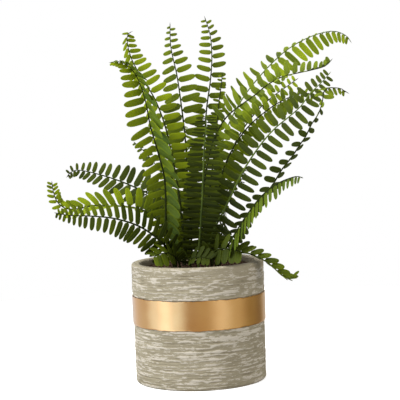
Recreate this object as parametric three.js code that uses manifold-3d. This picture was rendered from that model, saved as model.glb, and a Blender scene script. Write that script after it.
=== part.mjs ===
import * as THREE from 'three';
import Module from 'manifold-3d';
import { mergeVertices } from 'three/addons/utils/BufferGeometryUtils.js';

// Potted fern. Millimetres, +Z up, -Y is the front. The origin is the centre of the pot's underside.

// ---- pot, band and soil
const SEGMENTS = 48;
const POT_HEIGHT = 134.6;
const POT_RADIUS_TOP = 75;
const POT_RADIUS_FOOT = 73.8;
const POT_INNER_RADIUS = 65.2;
const POT_FLOOR = 10;
const RIM_ROUND = 2.4;
const RIM_BEVEL = 0.3;      // part of the rounding left at the middle corner of the rim's outer edge
const FOOT_ROUND = 2;
const BAND_FOOT = 65.6;
const BAND_HEAD = 99.2;
const BAND_PROUD = 1.3;
const BAND_SEAT_DEPTH = 0.9;
const BAND_GAP = 0.2;
const SOIL_TOP = 127.4;
const SOIL_CROWN = 2.4;
const SOIL_GAP = 0.3;

// ---- stems and leaflets
const STEM_SINK = 14;
const HOLE_RADIUS = 2;
const HOLE_DEPTH = 14.4;
const HOLE_SIDES = 8;
const DRILL_SPARE = 4;      // how far a hole's cutter reaches past the soil's crown
const STEM_WIDTH = 2.5;
const STEM_DEPTH = 2;
const STEM_TAPER = 1.7;      // over 1, so that a stem thins mostly near its tip
const TIP_WIDTH = 1;
const TIP_DEPTH = 0.9;
const LEAF_THICKNESS = 0.8;
const LEAF_CLEARANCE = 0.4;
const RIM_CLEARANCE = 0.8;
const STALK_SPANS = 5;
const LAST_LEAF = 0.985;    // where the last leaflet ends, as a share of the rib
const SPACING_EVEN = 0.6;   // share of the leaflets, from the first, that stand evenly spaced
const SPACING_FALL = 0.71;  // how much closer they stand towards the tip
const LEAF_BEND_AT = 0.66;  // where a leaflet bends, as a share of its length
const LEAF_BENDS = [-0.06, 0.16];
const LEAF_HANGS = [0.4, 1.7];
const LEAF_HALF_WIDTH = 1.1;
const LEAF_WIDENING = 0.135; // added half width for each millimetre of length
const USUAL_WIDTH = [1, 1];
const LEAF_CROWDING = 0.4;  // most that half a leaflet may take of the space to the next on its side
const NEIGHBOURS = 2;       // stations within which parts of one frond may touch
const CURVE_STEPS = 600;
const WELD = 1e-4;
// Tried in turn until a leaflet stands clear: its share of the full length and its turn in degrees.
const LEAF_WAYS = [
  [1, 0],
  [1, 14],
  [1, -14],
  [1, 28],
  [1, -28],
  [0.75, 0],
  [0.75, 24],
  [0.75, -24],
  [0.55, 0],
];

// ---- colours
const GREEN = { light: '#86a52a', mid: '#63861f', dark: '#3f5f1c' };
const CEMENT = '#a39e8c';
const GOLD = '#c8965a';
const EARTH = '#3a2a1f';

/*
 * Every frond stands on its own stem. `foot` is where the stem enters the soil (x, y) and `route` the
 * line of its rib from there to the tip. `pairs` is the number of leaflet pairs and `bare` the part of
 * the rib without leaflets. Lists of values belong to evenly spaced places from the first leaflet to the
 * tip: `leaf` is the leaflet length, `face` the way that the blade's upper surface looks, `lifts` how far
 * the leaflets of the left or right side stand out of the blade's plane and `sweeps` how far they lean
 * toward the tip, both in degrees. `hang` is how much their ends bend toward the ground and `broad` their
 * width against that of other leaflets. Nearer fronds come first: a leaflet that would cross an earlier
 * one is turned clear of it, or is missing.
 */
const FRONDS = [
  {
    name: 'frond_base_right', foot: [16, -31], pairs: 4, bare: 0.2, green: 'dark',
    leaf: [17, 19, 19, 14],
    face: [[0, -1, 0.3], [0, -1, 0.1]],
    left: { lifts: [-10, -20], sweeps: [25, 40], hang: 0, broad: [1.3, 1.3] },
    right: { lifts: [25, 35], sweeps: [5, 15], hang: 0.3, broad: [1.5, 1.5] },
    route: [[15, -38, 141], [18, -45, 148], [24, -52, 152], [32, -58, 153], [41, -63, 152],
      [50, -67, 149]],
  },
  {
    name: 'frond_base_front', foot: [-6, -34], pairs: 5, bare: 0.15, green: 'dark',
    leaf: [11, 14, 14, 10],
    face: [[0, -1, 0.3], [0, -1, 0.3]],
    left: { lifts: [-10, -20], sweeps: [20, 30], hang: 0, broad: [1.3, 1.3] },
    right: { lifts: [20, 20], sweeps: [0, 10], hang: 0.3, broad: [1.3, 1.3] },
    route: [[-9, -41, 137], [-8, -48, 142], [-1, -53, 144], [7, -56, 144], [15, -58, 142]],
  },
  {
    name: 'frond_base_left', foot: [-19, -25], pairs: 4, bare: 0.2, green: 'mid',
    leaf: [17, 20, 19, 12],
    face: [[0.1, -0.8, 0.6], [0, -0.9, 0.5]],
    left: { lifts: [-5, -10], sweeps: [0, 10], hang: 0.5, broad: [1.5, 1.5] },
    right: { lifts: [-5, -10], sweeps: [0, 10], hang: 0.3, broad: [1.5, 1.5] },
    route: [[-22, -31, 140], [-27, -38, 146], [-33, -44, 149], [-40, -49, 149], [-48, -53, 146]],
  },
  {
    name: 'frond_front_upright', foot: [1, -12], pairs: 22, bare: 0.03, green: 'dark',
    leaf: [17, 22, 22, 21, 19, 17, 14, 10],
    face: [[0, -1, 0], [0, -0.9, 0.4]],
    left: { lifts: [4, 4], sweeps: [0, 4], hang: 0.05, broad: [0.75, 0.75] },
    right: { lifts: [4, 4], sweeps: [0, 4], hang: 0.05, broad: [0.75, 0.75] },
    route: [[2, -14, 145], [5, -22, 175], [8, -31, 207], [10, -40, 236], [12, -49, 263], [14, -56, 279],
      [15, -63, 291], [15, -70, 300]],
  },
  {
    name: 'frond_over_rim', foot: [25, -6], pairs: 7, bare: 0.2, green: 'mid',
    leaf: [14, 16, 16, 15, 13, 10],
    face: [[0, -0.7, 0.8], [0, -0.8, 0.6], [0.3, -0.8, 0.5]],
    left: { lifts: [0, 5, 10], sweeps: [35, 50, 58, 50], hang: 0, broad: [1.5, 1.5] },
    right: { lifts: [50, 55, 62, 66], sweeps: [35, 50, 55, 55], hang: 0, broad: [1.4, 1.4] },
    route: [[31, -10, 139], [38, -13, 143], [44, -16, 144], [51, -22, 144], [59, -27, 143],
      [66, -31, 140], [74, -35, 136], [81, -38, 131], [87, -40, 125], [94, -42, 119], [100, -44, 116],
      [106, -46, 117]],
  },
  {
    name: 'frond_right_low', foot: [22, -24], pairs: 17, bare: 0.04, green: 'mid',
    leaf: [21, 22, 21, 19, 15, 5],
    face: [[0.1, -0.3, 1], [0, -0.3, 1]],
    left: { lifts: [-30, -10, 0], sweeps: [-30, -30, -30], hang: 0.3 },
    right: { lifts: [-34, -40], sweeps: [-40, -25, 0], hang: 0.6 },
    route: [[27, -38, 143], [34, -54, 156], [45, -68, 175], [57, -81, 194], [71, -95, 212],
      [84, -104, 223], [96, -112, 229], [107, -119, 232], [113, -124, 230]],
  },
  {
    name: 'frond_right_edge', foot: [20, -12], pairs: 17, bare: 0.06, green: 'mid',
    leaf: [15, 20, 21, 20, 16, 11, 6],
    face: [[-0.6, 0.4, 0.6], [-0.55, 0.4, 0.6], [-0.5, 0.4, 0.6], [-0.5, 0.4, 0.6], [-0.5, 0.4, 0.6],
      [-0.5, 0.4, 0.6], [-0.5, 0.4, 0.6], [-0.3, 0.3, 0.8], [0, 0, 1], [0.1, 0, 1]],
    left: { lifts: [20, 19, 18, 17, 16, 14, 12, 4, 0, 0], sweeps: [-10, -10, 0, 0], hang: 0.05 },
    right: {
      lifts: [10, 10, 10, 9, 9, 8, 6, -14, -55, -66], sweeps: [10, 10, 8, 0], hang: 0.1,
      broad: [1, 1, 1.2],
    },
    route: [[25, -18, 146], [45, -37, 168], [58, -49, 184], [72, -61, 205], [85, -71, 223],
      [94, -78, 238], [105, -86, 252], [112, -92, 263], [119, -97, 273], [125, -99, 285],
      [132, -100, 295], [136, -99, 304], [138, -97, 311], [139, -93, 317], [142, -88, 321],
      [146, -83, 323], [153, -77, 323], [160, -73, 322], [165, -70, 319], [170, -67, 316]],
  },
  {
    name: 'frond_left_low', foot: [-24, -14], pairs: 15, bare: 0.04, green: 'mid',
    leaf: [20, 22, 22, 18.5, 12.8, 4],
    face: [[0.1, -1, 0.2], [0.1, -1, 0.2]],
    left: { lifts: [-4, -4], sweeps: [2, 14, 14, 4, 0, 0], hang: 0.05, broad: [0.95, 1.05] },
    right: { lifts: [-8, -18], sweeps: [10, 15, 12], hang: 0.05 },
    route: [[-28, -18, 141], [-35, -26, 155], [-46, -34, 167], [-58, -43, 177], [-68, -50, 183],
      [-80, -57, 188], [-94, -63, 192], [-115, -69, 195], [-135, -77, 197], [-151, -83, 201]],
  },
  {
    name: 'frond_left_outer', foot: [-27, -5], pairs: 17, bare: 0.1, green: 'light',
    leaf: [16, 20, 22, 23, 25, 25, 18, 3],
    face: [[0.1, -1, 0.1], [0.2, -0.7, 0.7]],
    left: { lifts: [-4, -4], sweeps: [-8, -8, -8, -8, -5, 5, 40, 55], hang: 0.15 },
    right: { lifts: [10, 78], sweeps: [0, 0], hang: 0.75, broad: [1.4, 1.4] },
    route: [[-31, -8, 150], [-34, -12, 172], [-33, -17, 200], [-33, -22, 229], [-36, -28, 247],
      [-41, -33, 268], [-46, -38, 289], [-51, -44, 320], [-59, -49, 344], [-68, -52, 356],
      [-78, -54, 360], [-88, -55, 359]],
  },
  {
    name: 'frond_right_long', foot: [11, -9], pairs: 18, bare: 0.05, green: 'dark',
    leaf: [17, 21, 22, 22, 21, 17, 6],
    face: [[-0.1, -0.9, 0.4], [-0.2, -0.9, 0.4]],
    left: { lifts: [4, 2], sweeps: [0, 8], hang: 0.1 },
    right: { lifts: [-6, -10], sweeps: [0, 2, 12, 12, 10], hang: 0.1 },
    route: [[14, -11, 152], [20, -14, 170], [33, -20, 194], [42, -25, 212], [50, -30, 228],
      [60, -36, 245], [76, -44, 267], [90, -50, 282], [104, -55, 293], [117, -60, 304], [129, -64, 319],
      [142, -66, 331], [151, -68, 341]],
  },
  {
    name: 'frond_left_curl', foot: [-24, 5], pairs: 17, bare: 0.05, green: 'light',
    leaf: [20, 24, 24, 21, 12, 5],
    face: [[0, -1, 0.3], [0.2, -1, 0.1]],
    left: { lifts: [50, 70, 80, 72, 14, 0], sweeps: [0, 0, 20, 30, 30], hang: 0 },
    right: { lifts: [-4, 6], sweeps: [0, 5, 12, 45, 45, 18], hang: 0 },
    route: [[-27, 4, 155], [-39, 2, 178], [-60, 2, 194], [-81, 4, 199], [-100, 5, 200], [-116, 6, 201],
      [-133, 7, 198], [-148, 8, 199], [-157, 8, 207], [-161, 8, 220], [-162, 8, 231]],
  },
  {
    name: 'frond_right_spread', foot: [4, 7], pairs: 20, bare: 0.04, green: 'mid',
    leaf: [16, 22, 23, 24, 21, 6],
    face: [[-0.2, -0.9, 0.4], [-0.1, -0.8, 0.6]],
    left: { lifts: [4, -4], sweeps: [5, 5, 5, 5, 2, 12], hang: 0, broad: [0.75, 0.75, 0.8, 1.4] },
    right: { lifts: [-8, 15, 45, 72], sweeps: [0, 5], hang: 0.1, broad: [0.8, 0.8] },
    route: [[5, 6, 160], [8, 4, 200], [14, 3, 237], [24, 2, 272], [39, 1, 296], [56, 0, 309],
      [71, -1, 319], [87, -3, 331], [104, -5, 339], [119, -8, 342], [136, -11, 345], [151, -14, 349],
      [159, -16, 357]],
  },
  {
    name: 'frond_small_upright', foot: [9, 0], pairs: 17, bare: 0.05, green: 'mid',
    leaf: [9, 10, 10, 8, 4],
    face: [[0.1, -1, 0.1], [0.1, -1, 0.2]],
    left: { lifts: [0, 0], sweeps: [0, 8], hang: 0.05 },
    right: { lifts: [0, 0], sweeps: [0, 8], hang: 0.05 },
    route: [[11, 3, 170], [15, 8, 200], [19, 14, 225], [23, 18, 250], [28, 24, 285], [31, 29, 310],
      [35, 34, 333], [37, 38, 347]],
  },
  {
    name: 'frond_left_upright', foot: [-6, 10], pairs: 17, bare: 0.03, green: 'mid',
    leaf: [16, 21, 24, 25, 18.5, 3.5],
    face: [[0, -1, 0.1], [0, -1, 0.2]],
    left: { lifts: [-10, -20, -44], sweeps: [-5, -5, 0, 5], hang: 0.1 },
    right: { lifts: [-2, -4], sweeps: [0, 3, 8], hang: 0 },
    route: [[-6, 15, 165], [-8, 24, 205], [-8, 33, 240], [-9, 42, 275], [-12, 52, 311], [-16, 62, 347],
      [-22, 71, 381], [-22, 77, 410]],
  },
  {
    name: 'frond_left_hook', foot: [-14, 8], pairs: 19, bare: 0.03, green: 'light',
    leaf: [15, 20, 22, 22, 19.5, 7],
    face: [[0.1, -1, 0.1], [0.3, -0.8, -0.3]],
    left: { lifts: [-10, -40], sweeps: [-5, -6, -10, -25, -60], hang: 0.15 },
    right: { lifts: [-4, -4], sweeps: [-5, -5, -8], hang: 0 },
    route: [[-15, 12, 165], [-19, 20, 215], [-25, 28, 255], [-32, 35, 290], [-43, 41, 321],
      [-58, 46, 347], [-68, 50, 368], [-72, 52, 386], [-71, 51, 396], [-65, 48, 399]],
  },
  {
    name: 'frond_tall', foot: [2, 18], pairs: 17, bare: 0.03, green: 'mid',
    leaf: [16, 21, 24, 24, 22, 20, 15, 4],
    face: [[0, -1, 0.1], [0, -1, 0.2]],
    left: { lifts: [-4, -6], sweeps: [0, 5, 12], hang: 0.05 },
    right: { lifts: [-6, -18], sweeps: [2, 5, 18], hang: 0 },
    route: [[5, 27, 165], [9, 37, 212], [12, 46, 245], [14, 55, 275], [18, 64, 310], [23, 72, 338],
      [26, 79, 366], [25, 86, 394], [19, 91, 417]],
  },
  {
    name: 'frond_right_inner', foot: [17, 3], pairs: 15, bare: 0.05, green: 'light',
    leaf: [16, 20, 22, 22, 17, 6],
    face: [[-0.3, -0.9, 0.4], [-0.1, -0.8, 0.6]],
    left: { lifts: [0, -4], sweeps: [0, 6], hang: 0.1, broad: [0.9, 1] },
    right: { lifts: [-8, -16], sweeps: [0, 6], hang: 0.2, broad: [0.9, 1] },
    route: [[19, 6, 160], [25, 12, 200], [34, 17, 237], [48, 20, 264], [64, 21, 284], [82, 20, 299],
      [101, 17, 311], [119, 12, 318], [134, 6, 319], [144, 0, 314]],
  },
  {
    name: 'frond_left_dark', foot: [-16, 16], pairs: 16, bare: 0.04, green: 'dark',
    leaf: [16, 21, 23, 22, 14, 4],
    face: [[0.1, -1, 0.2], [0.1, -1, 0.2]],
    left: { lifts: [-6, -6], sweeps: [10, 15, 25, 30, 32, 20], hang: 0.05, broad: [1.1, 1.2] },
    right: { lifts: [2, 2], sweeps: [0, 0, -2, -10, 0], hang: 0, broad: [1.1, 1.2] },
    route: [[-18, 19, 155], [-29, 29, 185], [-48, 42, 206], [-69, 54, 217], [-93, 64, 227],
      [-115, 72, 234], [-131, 77, 238], [-141, 80, 239], [-148, 82, 236], [-153, 83, 230]],
  },
  {
    name: 'frond_right_arch', foot: [12, 16], pairs: 22, bare: 0.05, green: 'light',
    leaf: [14, 22, 25, 28, 26, 8],
    face: [[-0.6, -0.3, 0.8], [0.1, 0.1, 1]],
    left: { lifts: [30, 50, 58, 22, -8, 0], sweeps: [10, 30, 32, 8, 0, 0], hang: 0, broad: [0.65, 0.85] },
    right: { lifts: [-10, -64], sweeps: [0, 0, 12, 15], hang: 0.25, broad: [0.85, 0.85] },
    route: [[14, 22, 165], [18, 28, 200], [28, 36, 248], [44, 43, 291], [62, 49, 320], [79, 54, 340],
      [96, 58, 357], [113, 62, 371], [132, 66, 382], [154, 70, 390], [172, 72, 392], [186, 74, 386],
      [192, 75, 377]],
  },
  {
    name: 'frond_right_small', foot: [18, 12], pairs: 13, bare: 0.1, green: 'light',
    leaf: [12, 15, 16, 14, 7],
    face: [[-0.4, -0.7, 0.6], [-0.3, -0.9, 0.5]],
    left: { lifts: [0, 0], sweeps: [0, 6], hang: 0.05 },
    right: { lifts: [0, -10], sweeps: [0, 6], hang: 0.1 },
    route: [[21, 17, 165], [28, 24, 205], [38, 30, 242], [53, 34, 273], [72, 37, 298], [92, 39, 316],
      [110, 40, 328], [125, 41, 338]],
  },
  {
    name: 'frond_left_behind', foot: [-9, 23], pairs: 12, bare: 0.04, green: 'dark',
    leaf: [16, 19, 17, 11, 3],
    face: [[0.2, -0.8, 0.5], [0.2, -0.8, 0.5]],
    left: { lifts: [-10, -10], sweeps: [0, 8], hang: 0.1, broad: [1.3, 1.3] },
    right: { lifts: [-10, -10], sweeps: [0, 8], hang: 0.1, broad: [1.3, 1.3] },
    route: [[-11, 31, 160], [-20, 50, 190], [-32, 74, 220], [-47, 95, 243], [-62, 112, 260],
      [-73, 123, 270]],
  },
  {
    name: 'frond_back_left', foot: [-21, 26], pairs: 14, bare: 0.03, green: 'mid',
    leaf: [15, 21, 21, 18, 12, 3],
    face: [[0.2, 0.6, 0.8], [0, 0.6, 0.8]],
    left: { lifts: [-4, -14], sweeps: [0, 10], hang: 0.1 },
    right: { lifts: [-4, -14], sweeps: [0, 10], hang: 0.1 },
    route: [[-25, 35, 152], [-31, 56, 184], [-39, 82, 208], [-47, 110, 220], [-54, 137, 219],
      [-60, 160, 206], [-63, 175, 190]],
  },
  {
    name: 'frond_back_upright', foot: [4, 29], pairs: 15, bare: 0.03, green: 'mid',
    leaf: [15, 21, 21, 18, 12, 3],
    face: [[0, 1, 0.4], [0, 0.6, 0.8]],
    left: { lifts: [-4, -14], sweeps: [0, 10], hang: 0.1 },
    right: { lifts: [-4, -14], sweeps: [0, 10], hang: 0.1 },
    route: [[3, 37, 155], [-1, 56, 193], [-5, 78, 228], [-8, 102, 258], [-10, 127, 279], [-12, 150, 287],
      [-13, 170, 283]],
  },
  {
    name: 'frond_back_right', foot: [24, 24], pairs: 14, bare: 0.03, green: 'dark',
    leaf: [15, 21, 21, 18, 12, 3],
    face: [[-0.2, 0.6, 0.8], [0, 0.6, 0.8]],
    left: { lifts: [-4, -14], sweeps: [0, 10], hang: 0.1 },
    right: { lifts: [-4, -14], sweeps: [0, 10], hang: 0.1 },
    route: [[28, 33, 152], [34, 54, 186], [40, 80, 214], [46, 108, 230], [52, 135, 233], [57, 158, 223],
      [60, 174, 208]],
  },
];

const { Manifold, Mesh: ManifoldMesh } = await loadManifold();

async function loadManifold() {
  const wasm = await Module();
  wasm.setup();
  return wasm;
}

const vec = (x, y, z) => new THREE.Vector3(x, y, z);
const lerp = THREE.MathUtils.lerp;
const UP = vec(0, 0, 1);

// The value at t (0 to 1) between evenly spaced keys.
function keyed(keys, t) {
  const at = t * (keys.length - 1);
  const k = Math.min(Math.floor(at), keys.length - 2);
  return lerp(keys[k], keys[k + 1], at - k);
}

// ---- solids and meshes
function toManifold(geometry) {
  const welded = geometry.clone();
  welded.deleteAttribute('normal');
  welded.deleteAttribute('uv');
  const merged = mergeVertices(welded, WELD);
  return new Manifold(new ManifoldMesh({
    numProp: 3,
    vertProperties: new Float32Array(merged.attributes.position.array),
    triVerts: new Uint32Array(merged.index.array),
  }));
}

function toGeometry(solid) {
  const mesh = solid.getMesh();
  const geometry = new THREE.BufferGeometry();
  geometry.setAttribute('position', new THREE.BufferAttribute(new Float32Array(mesh.vertProperties), 3));
  geometry.setIndex(new THREE.BufferAttribute(new Uint32Array(mesh.triVerts), 1));
  geometry.computeVertexNormals();
  return geometry;
}

function piece(name, geometry, color, roughness, metalness) {
  const mesh = new THREE.Mesh(geometry, new THREE.MeshStandardMaterial({ color, roughness, metalness }));
  mesh.name = name;
  return mesh;
}

// A solid of revolution from a closed outline of [radius, height] points, anticlockwise.
function turned(outline) {
  const points = [...outline, outline[0]].map(([r, z]) => new THREE.Vector2(r, z));
  const geometry = new THREE.LatheGeometry(points, SEGMENTS);
  geometry.rotateX(Math.PI / 2);
  return geometry;
}

// ---- pot
const potRadius = (z) => lerp(POT_RADIUS_FOOT, POT_RADIUS_TOP, z / POT_HEIGHT);

function potGeometry() {
  const seat = (z) => potRadius(z) - BAND_SEAT_DEPTH;
  const mouth = POT_INNER_RADIUS;
  return turned([
    [0, 0],
    [POT_RADIUS_FOOT - FOOT_ROUND, 0],
    [potRadius(0), FOOT_ROUND],
    [potRadius(BAND_FOOT), BAND_FOOT],
    [seat(BAND_FOOT), BAND_FOOT],
    [seat(BAND_HEAD), BAND_HEAD],
    [potRadius(BAND_HEAD), BAND_HEAD],
    [potRadius(POT_HEIGHT), POT_HEIGHT - RIM_ROUND],
    [POT_RADIUS_TOP - RIM_ROUND * RIM_BEVEL, POT_HEIGHT - RIM_ROUND * RIM_BEVEL],
    [POT_RADIUS_TOP - RIM_ROUND, POT_HEIGHT],
    [mouth + RIM_ROUND, POT_HEIGHT],
    [mouth, POT_HEIGHT - RIM_ROUND],
    [mouth, POT_FLOOR],
    [0, POT_FLOOR],
  ]);
}

function bandGeometry() {
  const inner = (z) => potRadius(z) - BAND_SEAT_DEPTH + BAND_GAP;
  const outer = (z) => potRadius(z) + BAND_PROUD;
  const foot = BAND_FOOT + BAND_GAP;
  const head = BAND_HEAD - BAND_GAP;
  return turned([
    [inner(foot), foot],
    [outer(foot), foot],
    [outer(head), head],
    [inner(head), head],
  ]);
}

// ---- soil: a low crown with one plain hole for every stem
const soilHeight = (x, y) => {
  const reach = Math.hypot(x, y) / (POT_INNER_RADIUS - SOIL_GAP);
  return SOIL_TOP + SOIL_CROWN * (1 - reach);
};

function soilGeometry() {
  const edge = POT_INNER_RADIUS - SOIL_GAP;
  let solid = toManifold(turned([
    [0, POT_FLOOR + SOIL_GAP],
    [edge, POT_FLOOR + SOIL_GAP],
    [edge, SOIL_TOP],
    [0, SOIL_TOP + SOIL_CROWN],
  ]));
  for (const { foot: [x, y] } of FRONDS) {
    const length = HOLE_DEPTH + SOIL_CROWN + DRILL_SPARE;
    const drill = new THREE.CylinderGeometry(HOLE_RADIUS, HOLE_RADIUS, length, HOLE_SIDES);
    drill.rotateX(Math.PI / 2);
    drill.translate(x, y, soilHeight(x, y) - HOLE_DEPTH + length / 2);
    solid = solid.subtract(toManifold(drill));
  }
  return toGeometry(solid);
}

// ---- fronds
// Even steps (0 to 1) moved so that leaflets stand closer together towards the tip.
function spaced(even) {
  const closer = (at) => SPACING_FALL * Math.max(0, at - SPACING_EVEN) ** 2;
  return (even - closer(even)) / (1 - closer(1));
}

// Stations on the rib: centre, direction, blade normal and the way to the right, with the rib's size.
function ribStations(frond) {
  const [x, y] = frond.foot;
  const ground = soilHeight(x, y);
  const start = vec(x, y, ground);
  const curve = new THREE.CatmullRomCurve3(
    [vec(x, y, ground - STEM_SINK), start, ...frond.route.map((p) => vec(...p))],
    false,
    'centripetal',
  );
  curve.arcLengthDivisions = CURVE_STEPS;
  const full = curve.getLength();
  const buried = STEM_SINK / full;
  const first = lerp(buried, 1, frond.bare);
  const spans = frond.pairs * 2;
  const marks = [];
  for (let i = 0; i <= STALK_SPANS; i += 1) marks.push(lerp(buried, first, i / STALK_SPANS));
  for (let i = 1; i <= spans; i += 1) marks.push(lerp(first, LAST_LEAF, spaced(i / spans)));
  const stations = marks.map((at, i) => {
    const centre = i === 0 ? start.clone() : curve.getPointAt(at);
    const along = i === 0 ? UP.clone() : curve.getTangentAt(at);
    const t = THREE.MathUtils.clamp((at - first) / (1 - first), 0, 1);
    return makeStation(frond, centre, along, t, at);
  });
  stations.unshift(makeStation(frond, vec(x, y, ground - STEM_SINK), UP.clone(), 0, 0));
  stations.forEach((station, index) => Object.assign(station, { index }));
  return { stations, tip: curve.getPointAt(1), firstLeaf: STALK_SPANS + 1 };
}

function makeStation(frond, centre, along, t, at) {
  const face = vec(...[0, 1, 2].map((axis) => keyed(frond.face.map((key) => key[axis]), t)));
  const normal = face.addScaledVector(along, -face.dot(along)).normalize();
  const right = along.clone().cross(normal).normalize();
  const thinned = at ** STEM_TAPER;
  const width = lerp(STEM_WIDTH, TIP_WIDTH, thinned);
  const depth = lerp(STEM_DEPTH, TIP_DEPTH, thinned);
  const corner = (side, level) => centre.clone()
    .addScaledVector(right, (side * width) / 2)
    .addScaledVector(normal, (level * depth) / 2);
  return {
    centre, along, normal, right, t, width, depth,
    top: { '-1': corner(-1, 1), 1: corner(1, 1) },
    low: { '-1': corner(-1, -1), 1: corner(1, -1) },
  };
}

// A closed shell is a list of triangles, each of three points.
function shellGeometry(triangles) {
  const geometry = new THREE.BufferGeometry();
  geometry.setFromPoints(triangles.flat());
  return mergeVertices(geometry, WELD);
}

const quad = (a, b, c, d) => [[a, b, c], [a, c, d]];

/*
 * The outline of a leaflet that grows from the rib between stations a and b: two root points on the rib,
 * a belly and a shoulder, and the tip. `turn` lifts it further out of the blade's plane, `spread` widens it.
 */
function leafletOutline(frond, a, b, side, length, turn, spread) {
  const t = (a.t + b.t) / 2;
  const along = a.along.clone().add(b.along).normalize();
  const normal = a.normal.clone().add(b.normal).normalize();
  const outward = a.right.clone().add(b.right).normalize().multiplyScalar(side);
  const { lifts, sweeps, hang, broad = USUAL_WIDTH } = side < 0 ? frond.left : frond.right;
  const fold = THREE.MathUtils.degToRad(keyed(lifts, t) + turn);
  const sweep = THREE.MathUtils.degToRad(keyed(sweeps, t));
  const lift = outward.clone().multiplyScalar(Math.cos(fold)).addScaledVector(normal, Math.sin(fold));
  const aim = (bend, droop) => lift.clone().multiplyScalar(Math.cos(sweep + bend))
    .addScaledVector(along, Math.sin(sweep + bend))
    .addScaledVector(UP, -droop)
    .normalize();
  const inner = aim(LEAF_BENDS[0], hang * LEAF_HANGS[0]);
  const outer = aim(LEAF_BENDS[1], hang * LEAF_HANGS[1]);
  const root = a.centre.clone().add(b.centre).multiplyScalar(0.5);
  const middle = root.clone().addScaledVector(inner, length * LEAF_BEND_AT);
  const tip = middle.clone().addScaledVector(outer, length * (1 - LEAF_BEND_AT) + spread * 0.5);
  const across = along.clone().addScaledVector(inner, -along.dot(inner)).normalize();
  const up = inner.clone().cross(across).multiplyScalar(side).normalize();
  const room = 2 * a.centre.distanceTo(b.centre) * LEAF_CROWDING * Math.cos(sweep);
  const half = Math.min(room, (LEAF_HALF_WIDTH + length * LEAF_WIDENING) * keyed(broad, t)) + spread;
  const thick = LEAF_THICKNESS / 2 + spread;
  const belly = middle.clone().addScaledVector(across, -half);
  const shoulder = middle.clone().addScaledVector(across, half);
  const pair = (p) => [p.clone().addScaledVector(up, thick), p.clone().addScaledVector(up, -thick)];
  return [pair(belly), pair(tip), pair(shoulder)];
}

// Triangles of the leaflet's skin, without the root face.
function leafletSkin(a, b, side, outline) {
  const [[bt, bl], [tt, tl], [st, sl]] = outline;
  const [at, al] = [a.top[side], a.low[side]];
  const [ct, cl] = [b.top[side], b.low[side]];
  const skin = [
    [at, bt, ct], [bt, st, ct], [bt, tt, st],
    [al, cl, bl], [bl, cl, sl], [bl, sl, tl],
    ...quad(at, al, bl, bt),
    ...quad(bt, bl, tl, tt),
    ...quad(tt, tl, sl, st),
    ...quad(st, sl, cl, ct),
  ];
  return side > 0 ? skin : skin.map(([p, q, r]) => [p, r, q]);
}

function leafletSolid(a, b, side, outline, spread) {
  const grow = (station, level) => station[level][side].clone()
    .addScaledVector(station.normal, level === 'top' ? spread : -spread);
  const wide = (station) => ({
    top: { [side]: grow(station, 'top') },
    low: { [side]: grow(station, 'low') },
  });
  const [p, q] = [wide(a), wide(b)];
  const root = quad(p.top[side], q.top[side], q.low[side], p.low[side]);
  const skin = leafletSkin(p, q, side, outline);
  return toManifold(shellGeometry([...skin, ...(side > 0 ? root : root.map(([i, j, k]) => [i, k, j]))]));
}

function ribBoxes(frond, grow) {
  const { stations } = frond.rib;
  const boxes = [];
  const ring = (s) => [[1, 1], [-1, 1], [-1, -1], [1, -1]].map(([i, j]) => s.centre.clone()
    .addScaledVector(s.right, i * (s.width / 2 + grow))
    .addScaledVector(s.normal, j * (s.depth / 2 + grow)));
  for (let i = 1; i + 1 < stations.length; i += 1) {
    const [p, q] = [ring(stations[i]), ring(stations[i + 1])];
    const sides = [0, 1, 2, 3].flatMap((k) => quad(p[k], p[(k + 1) % 4], q[(k + 1) % 4], q[k]));
    const box = shellGeometry([...sides, ...quad(p[3], p[2], p[1], p[0]), ...quad(...q)]);
    boxes.push(entry(toManifold(box), frond.name, i));
  }
  return boxes;
}

const boundsOf = (solid) => {
  const { min, max } = solid.boundingBox();
  return new THREE.Box3(vec(...min), vec(...max));
};
const entry = (solid, owner, at) => ({ solid, owner, at, bounds: boundsOf(solid) });
const meets = (one, two) => one.bounds.intersectsBox(two.bounds)
  && !one.solid.intersect(two.solid).isEmpty();
const joined = (one, two) => one.owner === two.owner && Math.abs(one.at - two.at) <= NEIGHBOURS;

function frondGeometry(frond, obstacles) {
  const { stations, tip, firstLeaf } = frond.rib;
  const triangles = [];
  const base = stations[0];
  triangles.push(...quad(base.low[-1], base.low[1], base.top[1], base.top[-1]));
  for (let i = 0; i + 1 < stations.length; i += 1) {
    const [a, b] = [stations[i], stations[i + 1]];
    triangles.push(...quad(a.top[1], a.top[-1], b.top[-1], b.top[1]).map(([p, q, r]) => [p, r, q]));
    triangles.push(...quad(a.low[-1], a.low[1], b.low[1], b.low[-1]).map(([p, q, r]) => [p, r, q]));
    const leafSide = i < firstLeaf ? 0 : [1, -1][(i - firstLeaf) % 2];
    for (const side of [-1, 1]) {
      const outline = side === leafSide ? fittedLeaflet(frond, a, b, side, obstacles) : null;
      if (outline) {
        triangles.push(...leafletSkin(a, b, side, outline));
      } else {
        const plain = quad(a.top[side], a.low[side], b.low[side], b.top[side]);
        triangles.push(...(side > 0 ? plain : plain.map(([p, q, r]) => [p, r, q])));
      }
    }
  }
  triangles.push(...tipCap(stations.at(-1), tip));
  return shellGeometry(triangles);
}

function tipCap(last, tip) {
  const end = (level) => tip.clone().addScaledVector(last.normal, (level * TIP_DEPTH) / 2);
  const [high, low] = [end(1), end(-1)];
  return [
    [last.top[-1], last.top[1], high],
    [last.low[1], last.low[-1], low],
    ...quad(last.top[1], last.low[1], low, high),
    ...quad(last.low[-1], last.top[-1], high, low),
  ];
}

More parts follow.
